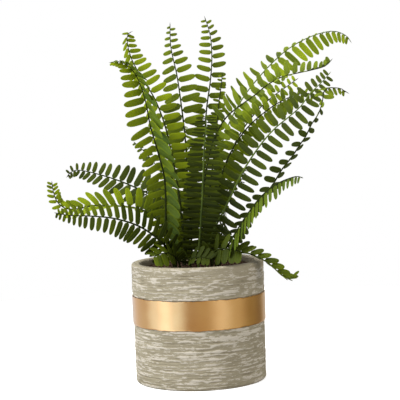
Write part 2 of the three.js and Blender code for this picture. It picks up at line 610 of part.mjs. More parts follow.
// The first way of setting a leaflet that stays clear of all that stands there, or null.
function fittedLeaflet(frond, a, b, side, obstacles) {
  const full = keyed(frond.leaf, (a.t + b.t) / 2);
  for (const [share, turn] of LEAF_WAYS) {
    const length = full * share;
    const grown = leafletOutline(frond, a, b, side, length, turn, LEAF_CLEARANCE);
    const trial = entry(leafletSolid(a, b, side, grown, LEAF_CLEARANCE), frond.name, a.index);
    const blocked = obstacles.some((other) => !joined(trial, other) && meets(trial, other));
    if (!blocked) {
      obstacles.push(trial);
      return leafletOutline(frond, a, b, side, length, turn, 0);
    }
  }
  return null;
}

const group = new THREE.Group();
group.name = 'potted_fern';
group.add(piece('pot', potGeometry(), CEMENT, 0.9, 0));
group.add(piece('gold_band', bandGeometry(), GOLD, 0.35, 0.9));
group.add(piece('soil', soilGeometry(), EARTH, 1, 0));

// Nothing green passes through the pot: leaflets stay above its rim or outside its wall.
const plug = turned([
  [0, 0],
  [POT_RADIUS_TOP + RIM_CLEARANCE, 0],
  [POT_RADIUS_TOP + RIM_CLEARANCE, POT_HEIGHT + RIM_CLEARANCE],
  [0, POT_HEIGHT + RIM_CLEARANCE],
]);
const obstacles = [entry(toManifold(plug), 'pot', 0)];
for (const frond of FRONDS) {
  frond.rib = ribStations(frond);
  obstacles.push(...ribBoxes(frond, LEAF_CLEARANCE));
}
for (const frond of FRONDS) {
  group.add(piece(frond.name, frondGeometry(frond, obstacles), GREEN[frond.green], 0.6, 0));
}

export default group;
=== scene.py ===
from math import cos, hypot, pi, radians, sin, sqrt

import bpy
import numpy as np
from mathutils import Matrix, Vector
from mathutils.bvhtree import BVHTree


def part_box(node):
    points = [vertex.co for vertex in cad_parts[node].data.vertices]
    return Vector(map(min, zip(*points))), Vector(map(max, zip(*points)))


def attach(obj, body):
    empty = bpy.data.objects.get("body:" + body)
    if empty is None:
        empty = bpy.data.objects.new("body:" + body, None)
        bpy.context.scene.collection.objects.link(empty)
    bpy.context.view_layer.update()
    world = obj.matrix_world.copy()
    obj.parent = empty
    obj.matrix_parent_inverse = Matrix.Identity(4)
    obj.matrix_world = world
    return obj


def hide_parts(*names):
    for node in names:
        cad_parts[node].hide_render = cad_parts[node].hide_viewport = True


# A fern of separate fronds in a combed cement pot with a gold band. Lengths are in millimetres up to the
# meshes themselves, which are in metres. +Z is up and -Y is the front.

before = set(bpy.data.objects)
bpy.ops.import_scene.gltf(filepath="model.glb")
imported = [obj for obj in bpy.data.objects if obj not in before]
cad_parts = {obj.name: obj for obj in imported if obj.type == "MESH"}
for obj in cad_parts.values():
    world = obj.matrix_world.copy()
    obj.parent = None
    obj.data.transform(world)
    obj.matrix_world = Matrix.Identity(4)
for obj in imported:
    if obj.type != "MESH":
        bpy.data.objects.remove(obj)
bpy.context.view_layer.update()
MM = 0.001

# ---- sizes of the pot, band and soil, as in the solids
POT_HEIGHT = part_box("pot")[1].z / MM
POT_RADIUS_TOP = 75.0
POT_RADIUS_FOOT = 73.8
POT_INNER_RADIUS = 65.2
POT_FLOOR = 10.0
RIM_ROUND = 2.4
FOOT_ROUND = 2.0
BAND_FOOT = 65.6
BAND_HEAD = 99.2
BAND_PROUD = 1.3
BAND_SEAT_DEPTH = 0.9
BAND_GAP = 0.2              # between the band and its seat
SOIL_TOP = 127.4            # where the soil meets the wall
SOIL_CROWN = 2.4            # how much higher its middle is
SOIL_GAP = 0.3              # between the soil and the pot

# ---- stems, as in the solids
STEM_SINK = 14.0            # how deep a stem stands in the soil
STEM_WIDTH = 2.5
STEM_DEPTH = 2.0
TIP_WIDTH = 0.9
TIP_DEPTH = 0.8
STEM_TAPER = 1.7            # over 1, so that a stem thins mostly near its tip


def row(lifts, sweeps, hang=0, **more):
    """
    A frond's row of leaflets: the degrees by which they rise from the blade's plane towards its face and
    lean to its tip, and how far they bend to the ground. There can be more: broad (how wide) and wild (how
    uneven), 1 where not given, roll (about their length) and pale (how much painted sheen, a pale green, the
    upper face takes).
    """
    return dict(lifts=lifts, sweeps=sweeps, hang=hang, **more)


# The fronds, nearer ones first, with the ribs of the solids. Several values are for evenly spaced places
# from the first leaflet to the tip.
#   foot    where the stem leaves the soil (x, y)
#   leaf    the leaflets' lengths
#   pairs   pairs of leaflets in the solid
#   bare    share of the stem over the soil that has no leaflets
#   green   "mid" where not given, tone: how much lighter, rib: its colour, "deep" where not given
#           green and tone are painted light and shade, by how the light falls on the frond
#   face    which way the blade faces
#   left, right, both   its rows of leaflets, as its face is seen
#   route   what the rib passes through
BACK = dict(leaf=(15, 21, 21, 18, 12, 3), bare=0.03, both=row((-4, -14), (0, 10), 0.1))
FRONDS = [
    dict(name="frond_base_right", foot=(16, -31), leaf=(17, 19, 19, 14), pairs=4, bare=0.2,
         green="dark", tone=-0.1, face=((0, -1, 0.3), (0, -1, 0.1)),
         left=row((-10, -20), (25, 40), wild=1.5, broad=1.3),
         right=row((25, 35), (5, 15), 0.3, wild=1.5, broad=1.5),
         route=((15, -38, 141), (18, -45, 148), (24, -52, 152), (32, -58, 153), (41, -63, 152),
                (50, -67, 149))),
    dict(name="frond_base_front", foot=(-6, -34), leaf=(11, 14, 14, 10), pairs=5, bare=0.15,
         green="dark", tone=-0.35, face=((0, -1, 0.3), (0, -1, 0.3)),
         left=row((-10, -20), (20, 30), wild=1.6, broad=1.3),
         right=row(20, (0, 10), 0.3, wild=1.6, broad=1.3),
         route=((-9, -41, 137), (-8, -48, 142), (-1, -53, 144), (7, -56, 144), (15, -58, 142))),
    dict(name="frond_base_left", foot=(-19, -25), leaf=(17, 20, 19, 12), pairs=4, bare=0.2,
         tone=-0.3, face=((0.1, -0.8, 0.6), (0, -0.9, 0.5)),
         left=row((-5, -10), (0, 10), 0.5, broad=1.5), right=row((-5, -10), (0, 10), 0.3, broad=1.5),
         route=((-22, -31, 140), (-27, -38, 146), (-33, -44, 149), (-40, -49, 149), (-48, -53, 146))),
    dict(name="frond_front_upright", foot=(1, -12), leaf=(17, 22, 22, 21, 19, 17, 14, 10), pairs=22,
         bare=0.03, green="dark", tone=-0.2, rib="pale", face=((0, -1, 0), (0, -0.9, 0.4)),
         both=row(4, (0, 4), 0.05, broad=0.75),
         route=((2, -14, 145), (5, -22, 175), (8, -31, 207), (10, -40, 236), (12, -49, 263), (14, -56, 279),
                (15, -63, 291), (15, -70, 300))),
    dict(name="frond_over_rim", foot=(25, -6), leaf=(14, 16, 16, 15, 13, 10), pairs=7, bare=0.2,
         face=((0, -0.7, 0.8), (0, -0.8, 0.6), (0.3, -0.8, 0.5)),
         left=row((0, 5, 10), (35, 50, 58, 50), broad=1.5),
         right=row((50, 55, 62, 66), (35, 50, 55, 55), broad=1.4),
         route=((31, -10, 139), (38, -13, 143), (44, -16, 144), (51, -22, 144), (59, -27, 143),
                (66, -31, 140), (74, -35, 136), (81, -38, 131), (87, -40, 125), (94, -42, 119),
                (100, -44, 116), (106, -46, 117))),
    dict(name="frond_right_low", foot=(22, -24), leaf=(21, 22, 21, 19, 15, 5), pairs=17, bare=0.04,
         tone=-0.2, face=((0.1, -0.3, 1), (0, -0.3, 1)),
         left=row((-30, -10, 0), (-30, -30, -30), 0.3, wild=1.5, pale=0.4),
         right=row((-34, -40), (-40, -25, 0), 0.6, wild=1.7, pale=0.4),
         route=((27, -38, 143), (34, -54, 156), (45, -68, 175), (57, -81, 194), (71, -95, 212),
                (84, -104, 223), (96, -112, 229), (107, -119, 232), (113, -124, 230))),
    dict(name="frond_right_edge", foot=(20, -12), leaf=(15, 20, 21, 20, 16, 11, 6), pairs=17, bare=0.06,
         tone=0.45,
         face=((-0.6, 0.4, 0.6), (-0.55, 0.4, 0.6), *[(-0.5, 0.4, 0.6)] * 5, (-0.3, 0.3, 0.8), (0, 0, 1),
               (0.1, 0, 1)),
         left=row((20, 19, 18, 17, 16, 14, 12, 4, 0, 0), (-10, -10, 0, 0), 0.05),
         right=row((10, 10, 10, 9, 9, 8, 6, -14, -55, -66), (10, 10, 8, 0), 0.1, broad=(1, 1, 1.2)),
         route=((25, -18, 146), (45, -37, 168), (58, -49, 184), (72, -61, 205), (85, -71, 223),
                (94, -78, 238), (105, -86, 252), (112, -92, 263), (119, -97, 273), (125, -99, 285),
                (132, -100, 295), (136, -99, 304), (138, -97, 311), (139, -93, 317), (142, -88, 321),
                (146, -83, 323), (153, -77, 323), (160, -73, 322), (165, -70, 319), (170, -67, 316))),
    dict(name="frond_left_low", foot=(-24, -14), leaf=(20, 22, 22, 18.5, 12.8, 4), pairs=15, bare=0.04,
         tone=-0.3, face=((0.1, -1, 0.2), (0.1, -1, 0.2)),
         left=row(-4, (2, 14, 14, 4, 0, 0), 0.05, broad=(0.95, 1.05)),
         right=row((-8, -18), (10, 15, 12), 0.05),
         route=((-28, -18, 141), (-35, -26, 155), (-46, -34, 167), (-58, -43, 177), (-68, -50, 183),
                (-80, -57, 188), (-94, -63, 192), (-115, -69, 195), (-135, -77, 197), (-151, -83, 201))),
    dict(name="frond_left_outer", foot=(-27, -5), leaf=(16, 20, 22, 23, 25, 25, 18, 3), pairs=17, bare=0.1,
         green="light", tone=0.4, face=((0.1, -1, 0.1), (0.2, -0.7, 0.7)),
         left=row(-4, (-8, -8, -8, -8, -5, 5, 40, 55), 0.15),
         right=row((10, 78), 0, 0.75, pale=0.8, wild=2.4, broad=1.4),
         route=((-31, -8, 150), (-34, -12, 172), (-33, -17, 200), (-33, -22, 229), (-36, -28, 247),
                (-41, -33, 268), (-46, -38, 289), (-51, -44, 320), (-59, -49, 344), (-68, -52, 356),
                (-78, -54, 360), (-88, -55, 359))),
    dict(name="frond_right_long", foot=(11, -9), leaf=(17, 21, 22, 22, 21, 17, 6), pairs=18, bare=0.05,
         green="dark", tone=0.15, rib="pale", face=((-0.1, -0.9, 0.4), (-0.2, -0.9, 0.4)),
         left=row((4, 2), (0, 8), 0.1), right=row((-6, -10), (0, 2, 12, 12, 10), 0.1),
         route=((14, -11, 152), (20, -14, 170), (33, -20, 194), (42, -25, 212), (50, -30, 228),
                (60, -36, 245), (76, -44, 267), (90, -50, 282), (104, -55, 293), (117, -60, 304),
                (129, -64, 319), (142, -66, 331), (151, -68, 341))),
    dict(name="frond_left_curl", foot=(-24, 5), leaf=(20, 24, 24, 21, 12, 5), pairs=17, bare=0.05,
         green="light", tone=0.1, face=((0, -1, 0.3), (0.2, -1, 0.1)),
         left=row((50, 70, 80, 72, 14, 0), (0, 0, 20, 30, 30)), right=row((-4, 6), (0, 5, 12, 45, 45, 18)),
         route=((-27, 4, 155), (-39, 2, 178), (-60, 2, 194), (-81, 4, 199), (-100, 5, 200), (-116, 6, 201),
                (-133, 7, 198), (-148, 8, 199), (-157, 8, 207), (-161, 8, 220), (-162, 8, 231))),
    dict(name="frond_right_spread", foot=(4, 7), leaf=(16, 22, 23, 24, 21, 6), pairs=20, bare=0.04,
         tone=0.12, face=((-0.2, -0.9, 0.4), (-0.1, -0.8, 0.6)),
         left=row((4, -4), (5, 5, 5, 5, 2, 12), wild=1.5, roll=0.25, broad=(0.75, 0.75, 0.8, 1.4)),
         right=row((-8, 15, 45, 72), (0, 5), 0.1, wild=1.5, broad=0.8),
         route=((5, 6, 160), (8, 4, 200), (14, 3, 237), (24, 2, 272), (39, 1, 296), (56, 0, 309),
                (71, -1, 319), (87, -3, 331), (104, -5, 339), (119, -8, 342), (136, -11, 345),
                (151, -14, 349), (159, -16, 357))),
    dict(name="frond_small_upright", foot=(9, 0), leaf=(9, 10, 10, 8, 4), pairs=17, bare=0.05,
         face=((0.1, -1, 0.1), (0.1, -1, 0.2)), both=row(0, (0, 8), 0.05),
         route=((11, 3, 170), (15, 8, 200), (19, 14, 225), (23, 18, 250), (28, 24, 285), (31, 29, 310),
                (35, 34, 333), (37, 38, 347))),
    dict(name="frond_left_upright", foot=(-6, 10), leaf=(16, 21, 24, 25, 18.5, 3.5), pairs=17, bare=0.03,
         tone=0.1, face=((0, -1, 0.1), (0, -1, 0.2)),
         left=row((-10, -20, -44), (-5, -5, 0, 5), 0.1), right=row((-2, -4), (0, 3, 8)),
         route=((-6, 15, 165), (-8, 24, 205), (-8, 33, 240), (-9, 42, 275), (-12, 52, 311), (-16, 62, 347),
                (-22, 71, 381), (-22, 77, 410))),
    dict(name="frond_left_hook", foot=(-14, 8), leaf=(15, 20, 22, 22, 19.5, 7), pairs=19, bare=0.03,
         green="light", tone=0.25, face=((0.1, -1, 0.1), (0.3, -0.8, -0.3)),
         left=row((-10, -40), (-5, -6, -10, -25, -60), 0.15), right=row(-4, (-5, -5, -8)),
         route=((-15, 12, 165), (-19, 20, 215), (-25, 28, 255), (-32, 35, 290), (-43, 41, 321),
                (-58, 46, 347), (-68, 50, 368), (-72, 52, 386), (-71, 51, 396), (-65, 48, 399))),
    dict(name="frond_tall", foot=(2, 18), leaf=(16, 21, 24, 24, 22, 20, 15, 4), pairs=17, bare=0.03,
         tone=0.1, face=((0, -1, 0.1), (0, -1, 0.2)),
         left=row((-4, -6), (0, 5, 12), 0.05), right=row((-6, -18), (2, 5, 18)),
         route=((5, 27, 165), (9, 37, 212), (12, 46, 245), (14, 55, 275), (18, 64, 310), (23, 72, 338),
                (26, 79, 366), (25, 86, 394), (19, 91, 417))),
    dict(name="frond_right_inner", foot=(17, 3), leaf=(16, 20, 22, 22, 17, 6), pairs=15, bare=0.05,
         green="light", tone=-0.2, face=((-0.3, -0.9, 0.4), (-0.1, -0.8, 0.6)),
         left=row((0, -4), (0, 6), 0.1, wild=1.5, broad=(0.9, 1)),
         right=row((-8, -16), (0, 6), 0.2, wild=1.5, broad=(0.9, 1)),
         route=((19, 6, 160), (25, 12, 200), (34, 17, 237), (48, 20, 264), (64, 21, 284), (82, 20, 299),
                (101, 17, 311), (119, 12, 318), (134, 6, 319), (144, 0, 314))),
    dict(name="frond_left_dark", foot=(-16, 16), leaf=(16, 21, 23, 22, 14, 4), pairs=16, bare=0.04,
         green="dark", face=((0.1, -1, 0.2), (0.1, -1, 0.2)),
         left=row(-6, (10, 15, 25, 30, 32, 20), 0.05), right=row(2, (0, 0, -2, -10, 0)),
         route=((-18, 19, 155), (-29, 29, 185), (-48, 42, 206), (-69, 54, 217), (-93, 64, 227),
                (-115, 72, 234), (-131, 77, 238), (-141, 80, 239), (-148, 82, 236), (-153, 83, 230))),
    dict(name="frond_right_arch", foot=(12, 16), leaf=(14, 22, 25, 28, 26, 8), pairs=22, bare=0.05,
         green="light", tone=-0.1, rib="pale", face=((-0.6, -0.3, 0.8), (0.1, 0.1, 1)),
         left=row((30, 50, 58, 22, -8, 0), (10, 30, 32, 8, 0, 0), roll=0.9, broad=(0.65, 0.85)),
         right=row((-10, -64), (0, 0, 12, 15), 0.25, broad=0.85),
         route=((14, 22, 165), (18, 28, 200), (28, 36, 248), (44, 43, 291), (62, 49, 320), (79, 54, 340),
                (96, 58, 357), (113, 62, 371), (132, 66, 382), (154, 70, 390), (172, 72, 392), (186, 74, 386),
                (192, 75, 377))),
    dict(name="frond_right_small", foot=(18, 12), leaf=(12, 15, 16, 14, 7), pairs=13, bare=0.1, green="light",
         face=((-0.4, -0.7, 0.6), (-0.3, -0.9, 0.5)), left=row(0, (0, 6), 0.05),
         right=row((0, -10), (0, 6), 0.1),
         route=((21, 17, 165), (28, 24, 205), (38, 30, 242), (53, 34, 273), (72, 37, 298), (92, 39, 316),
                (110, 40, 328), (125, 41, 338))),
    dict(name="frond_left_behind", foot=(-9, 23), leaf=(16, 19, 17, 11, 3), pairs=12, bare=0.04, green="dark",
         face=((0.2, -0.8, 0.5), (0.2, -0.8, 0.5)), both=row(-10, (0, 8), 0.1, broad=1.3),
         route=((-11, 31, 160), (-20, 50, 190), (-32, 74, 220), (-47, 95, 243), (-62, 112, 260),
                (-73, 123, 270))),
    dict(name="frond_back_left", foot=(-21, 26), pairs=14, face=((0.2, 0.6, 0.8), (0, 0.6, 0.8)), **BACK,
         route=((-25, 35, 152), (-31, 56, 184), (-39, 82, 208), (-47, 110, 220), (-54, 137, 219),
                (-60, 160, 206), (-63, 175, 190))),
    dict(name="frond_back_upright", foot=(4, 29), pairs=15, face=((0, 1, 0.4), (0, 0.6, 0.8)), **BACK,
         route=((3, 37, 155), (-1, 56, 193), (-5, 78, 228), (-8, 102, 258), (-10, 127, 279), (-12, 150, 287),
                (-13, 170, 283))),
    dict(name="frond_back_right", foot=(24, 24), pairs=14, green="dark",
         face=((-0.2, 0.6, 0.8), (0, 0.6, 0.8)), **BACK,
         route=((28, 33, 152), (34, 54, 186), (40, 80, 214), (46, 108, 230), (52, 135, 233), (57, 158, 223),
                (60, 174, 208))),
]


# ---- small helpers
def lerp(a, b, t):
    return a + (b - a) * t


def keyed(keys, t):
    """The value at t (0 to 1) between evenly spaced keys, or the only one there is."""
    if not isinstance(keys, tuple):
        return keys
    at = t * (len(keys) - 1)
    k = min(int(at), len(keys) - 2)
    return lerp(np.array(keys[k], float), np.array(keys[k + 1], float), at - k)


def unit(v):
    return v / np.linalg.norm(v)


def smooth(low, high, x):
    """0 at low and before, 1 at high and beyond, with a soft start and end."""
    t = np.clip((x - low) / (high - low), 0, 1)
    return t * t * (3 - 2 * t)


def srgb(colour):
    """A display colour from 0 to 255 as linear RGBA."""
    def channel(value):
        c = value / 255
        return c / 12.92 if c <= 0.04045 else ((c + 0.055) / 1.055) ** 2.4
    return (*map(channel, colour), 1)


WITHIN = 0.999              # keeps the top of a noise grid inside it


def ring_noise(turn, height, columns, rows, seed):
    """Smooth noise from -1 to 1 over turn (0 to 1, closing on itself) and height (0 to 1)."""
    grid = np.random.RandomState(seed).uniform(-1, 1, (rows + 2, columns))
    x, y = turn * columns, height * WITHIN * rows
    i, j = np.floor(x).astype(int), np.floor(y).astype(int)
    fx, fy = x - i, y - j
    fx, fy = fx * fx * (3 - 2 * fx), fy * fy * (3 - 2 * fy)
    left, right = i % columns, (i + 1) % columns
    low = lerp(grid[j, left], grid[j, right], fx)
    high = lerp(grid[j + 1, left], grid[j + 1, right], fx)
    return lerp(low, high, fy)


def on_ring(radius, height, turn):
    """Points at a radius and height, a share of a turn round from the front."""
    return np.stack([radius * np.sin(2 * np.pi * turn), -radius * np.cos(2 * np.pi * turn), height], axis=-1)


def add_object(name, data):
    made = bpy.data.objects.new(name, data)
    bpy.context.scene.collection.objects.link(made)
    return made


def mesh_piece(name, vertices, faces, materials, sharp, face_slots=None):
    """A smooth-shaded piece with creases where it turns by more than `sharp` degrees."""
    mesh = bpy.data.meshes.new(name)
    mesh.from_pydata((np.asarray(vertices) * MM).tolist(), [], faces)
    for material in materials:
        mesh.materials.append(material)
    if face_slots is not None:
        mesh.polygons.foreach_set("material_index", face_slots)
    mesh.polygons.foreach_set("use_smooth", [True] * len(mesh.polygons))
    mesh.set_sharp_from_angle(angle=radians(sharp))
    mesh.validate()
    mesh.update()
    piece = add_object(name, mesh)
    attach(piece, "root")
    return piece


def add_values(piece, name, values):
    """Stores one number per vertex for the material to read."""
    attribute = piece.data.attributes.new(name, "FLOAT", "POINT")
    attribute.data.foreach_set("value", np.asarray(values, dtype=np.float32))


def closed_grid(rows, columns, wrap_rows):
    """Quads of a grid that closes on itself round its columns, and round its rows too if asked."""
    faces = []
    last = rows if wrap_rows else rows - 1
    for j in range(last):
        a, b = j * columns, ((j + 1) % rows) * columns
        for i in range(columns):
            k = (i + 1) % columns
            faces.append((a + i, a + k, b + k, b + i))
    return faces


def cap_ends(faces, rows, columns, low, high):
    """Closes the first and last rows of a grid with fans to the points numbered low and high."""
    last = (rows - 1) * columns
    for i in range(columns):
        k = (i + 1) % columns
        faces.append((low, k, i))
        faces.append((high, last + i, last + k))


# ---- materials
BLACK, WHITE = (0, 0, 0, 1), (1, 1, 1, 1)


class Nodes:
    """Short calls for building the nodes of a material, or of the world."""

    def __init__(self, name, world=False):
        self.owner = (bpy.data.worlds if world else bpy.data.materials).new(name)
        self.owner.use_nodes = True
        self.tree = self.owner.node_tree
        self.tree.nodes.clear()
        self.output = self.add("OutputWorld" if world else "OutputMaterial")

    def add(self, kind, inputs=(), **settings):
        node = self.tree.nodes.new("ShaderNode" + kind)
        for key, value in settings.items():
            setattr(node, key, value)
        for key, value in dict(inputs).items():
            if isinstance(value, bpy.types.NodeSocket):
                self.tree.links.new(value, node.inputs[key])
            else:
                node.inputs[key].default_value = value
        return node

    def value(self, name):
        return self.add("Attribute", attribute_name=name).outputs["Fac"]

    def noise(self, scale, detail, rough, stretch=None):
        """Noise over the piece's own place in metres. A larger stretch makes it finer that way."""
        vector = self.add("TexCoord").outputs["Object"]
        if stretch:
            vector = self.add("Mapping", {"Vector": vector, "Scale": stretch}).outputs[0]
        inputs = {"Vector": vector, "Scale": scale, "Detail": detail, "Roughness": rough}
        return self.add("TexNoise", inputs).outputs["Fac"]

    def math(self, operation, a, b=0.0, clamp=False):
        return self.add("Math", {0: a, 1: b}, operation=operation, use_clamp=clamp).outputs[0]

    def ramp(self, fac, stops, interpolation="LINEAR"):
        node = self.add("ValToRGB", {"Fac": fac})
        node.color_ramp.interpolation = interpolation
        elements = node.color_ramp.elements
        while len(elements) < len(stops):
            elements.new(0.5)
        for element, (at, colour) in zip(elements, stops):
            element.position = at
            element.color = colour
        return node.outputs["Color"]

    def mask(self, fac, off, on):
        """0 where fac is at `off` or beyond it, and 1 at `on` or beyond, whichever of them is higher."""
        return self.ramp(fac, sorted([(off, BLACK), (on, WHITE)]))

    def mix(self, fac, a, b, most=1):
        """The colour a where fac is 0, up to `most` of the colour b where it is 1."""
        if most < 1:
            fac = self.math("MULTIPLY", fac, most)
        return self.add("Mix", {0: fac, 6: a, 7: b}, data_type="RGBA").outputs[2]

    def span(self, fac, low, high, start=0, stop=1):
        """fac from start to stop as a number from low to high."""
        return self.add("MapRange", {0: fac, 1: start, 2: stop, 3: low, 4: high}).outputs[0]

    def bump(self, height, distance, strength):
        return self.add("Bump", {"Height": height, "Distance": distance, "Strength": strength}).outputs[0]

    def principled(self, **inputs):
        inputs = {key.replace("_", " "): value for key, value in inputs.items()}
        return self.add("BsdfPrincipled", inputs).outputs[0]

    def ray(self, kind):
        return self.add("LightPath").outputs[f"Is {kind} Ray"]

    def blend(self, fac, a, b):
        return self.add("MixShader", {0: fac, 1: a, 2: b}).outputs[0]

    def finish(self, shader):
        self.tree.links.new(shader, self.output.inputs["Surface"])
        return self.owner


CEMENT = dict(ground=((149, 141, 119), (169, 161, 139)), grain=(126, 118, 99), pit=(112, 103, 84))
WHITEWASH = (203, 196, 183)
GOLD = dict(leaf=((238, 184, 114), (230, 170, 98)), worn=(176, 120, 66))
EARTH = ((24, 16, 10), (62, 44, 31), (104, 80, 60))


def cement_material():
    """Combed cement: `streak` and `relief` come from the mesh, and fine noise frays both."""
    n = Nodes("combed_cement")
    grain = n.noise(900, 4, 0.6)
    cloud = n.noise(22, 3, 0.5, stretch=(1, 1, 2.5))
    fine = n.noise(320, 4, 0.75, stretch=(1, 1, 5))
    dull, fair = map(srgb, CEMENT["ground"])
    colour = n.ramp(cloud, [(0.3, dull), (0.7, fair)])
    colour = n.mix(n.span(grain, 0.0, 0.35), colour, srgb(CEMENT["grain"]))
    streak = n.mask(n.math("ADD", n.value("streak"), n.span(fine, -0.9, 0.9)), 0.42, 0.6)
    colour = n.mix(streak, colour, srgb(WHITEWASH), most=0.85)
    pit = n.mask(n.math("ADD", n.value("relief"), n.span(fine, -0.3, 0.3)), 0.3, 0.08)
    colour = n.mix(pit, colour, srgb(CEMENT["pit"]), most=0.65)
    return n.finish(n.principled(
        Base_Color=colour, Roughness=n.span(grain, 0.78, 0.95), Specular_IOR_Level=0.25,
        Normal=n.bump(n.math("ADD", grain, fine), 0.0004, 0.5),
    ))


def gold_material():
    n = Nodes("brushed_gold_leaf")
    brushed = n.noise(30, 4, 0.6, stretch=(1, 1, 22))
    cloud = n.noise(26, 3, 0.55)
    pale, rich = map(srgb, GOLD["leaf"])
    colour = n.ramp(cloud, [(0.3, pale), (0.7, rich)])
    worn = n.mask(n.math("ADD", n.value("edge"), n.span(brushed, -0.3, 0.3)), 0.6, 1.0)
    colour = n.mix(worn, colour, srgb(GOLD["worn"]), most=0.5)
    return n.finish(n.principled(
        Base_Color=colour, Metallic=1.0, Roughness=n.span(brushed, 0.12, 0.22),
        Coat_Weight=0.5, Coat_IOR=1.8, Coat_Roughness=0.2, Normal=n.bump(brushed, 0.0002, 0.35),
    ))


def soil_material():
    n = Nodes("potting_soil")
    clod = n.noise(160, 5, 0.7)
    colour = n.ramp(clod, list(zip((0.25, 0.5, 0.8), map(srgb, EARTH))))
    return n.finish(n.principled(
        Base_Color=colour, Roughness=0.95, Specular_IOR_Level=0.15, Normal=n.bump(clod, 0.0012, 0.8),
    ))


# Lit and shaded copies of one leaf green, painted light and shade: "light" for fronds in the light, "dark"
# for fronds in shade, "mid" between.
GREENS = {
    "light": dict(deep=(82, 99, 2), bright=(158, 177, 18), under=(124, 144, 46)),
    "mid": dict(deep=(62, 76, 3), bright=(130, 148, 20), under=(104, 124, 50)),
    "dark": dict(deep=(50, 60, 6), bright=(90, 104, 16), under=(76, 93, 36)),
}
RIBS = {"deep": (42, 52, 14), "pale": (94, 116, 54)}
# painted sheen: the pale green that the upper faces of hanging leaflets take for the light's sheen on them
PAINTED_SHEEN_GREEN = (92, 124, 52)
SHADED = (26, 31, 4)        # painted shade for the crowded heart of the plant
VEINS = 9                   # on each half of a leaflet
GLOW = {"top": 0.24, "under": 0.45}  # share of the light that comes through a leaflet, by face


def blade_material(green, side):
    """A leaflet's face. The mesh has `across`, -1 to 1 from edge to edge, and `along`, 0 to 1 to its end."""
    deep, bright, below = (srgb(GREENS[green][key]) for key in ("deep", "bright", "under"))
    n = Nodes(f"leaflet_{side}_{green}")
    cloud = n.noise(60, 3, 0.55)
    mottle = n.noise(420, 3, 0.6)
    tone = n.math("ADD", n.value("tone"), n.span(cloud, -0.25, 0.25), clamp=True)
    if side == "top":
        colour = n.ramp(tone, [(0.1, deep), (0.9, bright)])
        # painted sheen on the upper face, as much as the mesh's `pale` asks
        colour = n.mix(n.value("pale"), colour, srgb(PAINTED_SHEEN_GREEN))
    else:
        colour = n.mix(n.span(tone, 0.0, 0.6), below, deep)
    colour = n.mix(n.span(mottle, 0.0, 0.3), colour, deep)
    along = n.value("along")
    off_midrib = n.math("ABSOLUTE", n.value("across"))
    # painted shade: darker towards a leaflet's root
    colour = n.mix(n.mask(along, 0.6, 0.0), colour, deep, most=0.6)
    colour = n.mix(n.mask(off_midrib, 0.16, 0.0), colour, below, most=0.45)
    # painted highlight: lighter towards a leaflet's edges
    colour = n.mix(n.mask(off_midrib, 0.6, 1.0), colour, bright, most=0.55)
    # painted shade in the crowded heart of the plant
    colour = n.mix(n.value("shade"), colour, srgb(SHADED))
    skew = n.math("SUBTRACT", n.math("MULTIPLY", along, VEINS), off_midrib)
    veins = n.math("SINE", n.math("MULTIPLY", skew, 2 * pi))
    shader = n.principled(
        Base_Color=colour, Roughness=n.span(mottle, 0.5, 0.68), Specular_IOR_Level=0.22,
        Normal=n.bump(n.math("ADD", n.math("MULTIPLY", veins, 0.5), mottle), 0.0002, 0.4),
    )
    glow = n.add("BsdfTranslucent", {"Color": colour}).outputs[0]
    return n.finish(n.blend(GLOW[side], shader, glow))


def rib_material(kind):
    n = Nodes(f"rib_{kind}")
    cloud = n.noise(90, 3, 0.6, stretch=(1, 1, 0.3))
    r, g, b = RIBS[kind]
    colour = n.ramp(cloud, [(0.3, srgb((r * 0.8, g * 0.8, b * 0.8))), (0.7, srgb((r * 1.15, g * 1.1, b)))])
    # painted shade in the crowded heart of the plant
    colour = n.mix(n.value("shade"), colour, srgb(SHADED))
    return n.finish(n.principled(
        Base_Color=colour, Roughness=n.span(cloud, 0.6, 0.75), Specular_IOR_Level=0.12,
        Normal=n.bump(cloud, 0.0002, 0.3),
    ))


def floor_material():
    """White where it is seen, and grey where it throws light on the pot."""
    n = Nodes("studio_floor")
    colour = n.ramp(n.noise(3, 2, 0.5), [(0.3, (0.93, 0.93, 0.93, 1)), (0.7, (0.95, 0.95, 0.95, 1))])
    seen = n.principled(
        Base_Color=colour, Roughness=0.9, Specular_IOR_Level=0.1,
        Emission_Color=WHITE, Emission_Strength=0.55,
    )
    unseen = n.principled(Base_Color=(0.3, 0.3, 0.3, 1), Roughness=0.9, Specular_IOR_Level=0.1)
    return n.finish(n.blend(n.ray("Camera"), unseen, seen))


# ---- pot, band and soil
WALL_COLUMNS = 380
WALL_ROW = 0.55             # height of a row of its faces
FOOT_STEPS, RIM_STEPS = 3, 4  # faces in each rounding
FLAT_RINGS = (20, 45)       # radii of the rings that divide the underside and the floor
INSIDE_ROWS = (128, 124, 116, 100, 70, 40, 20, POT_FLOOR)
# Columns, rows and seed of the comb's long lines, lines, dashes, shreds and patches.
COMB = ((9, 90, 3), (26, 120, 5), (72, 104, 7), (160, 190, 11), (15, 20, 13))
RELIEF_DEPTH = 0.5
LUMP_DEPTH = 0.25
RIM_RELIEF = 0.2            # share of the relief on the rim
RIM_FADE = (7, 2)           # how far under the rim's rounding it begins and ends to fade
RIM_LOSS = 0.75             # share of it that is gone by then
PLAIN_RELIEF = 0.6          # what the material reads on faces that are not combed
RIM_WHITENING = 0.4         # share of the whitened streaks on the rim's top
FADED_WHITENING = 0.2       # share of them that goes with the relief


def pot_radius(z):
    return lerp(POT_RADIUS_FOOT, POT_RADIUS_TOP, z / POT_HEIGHT)


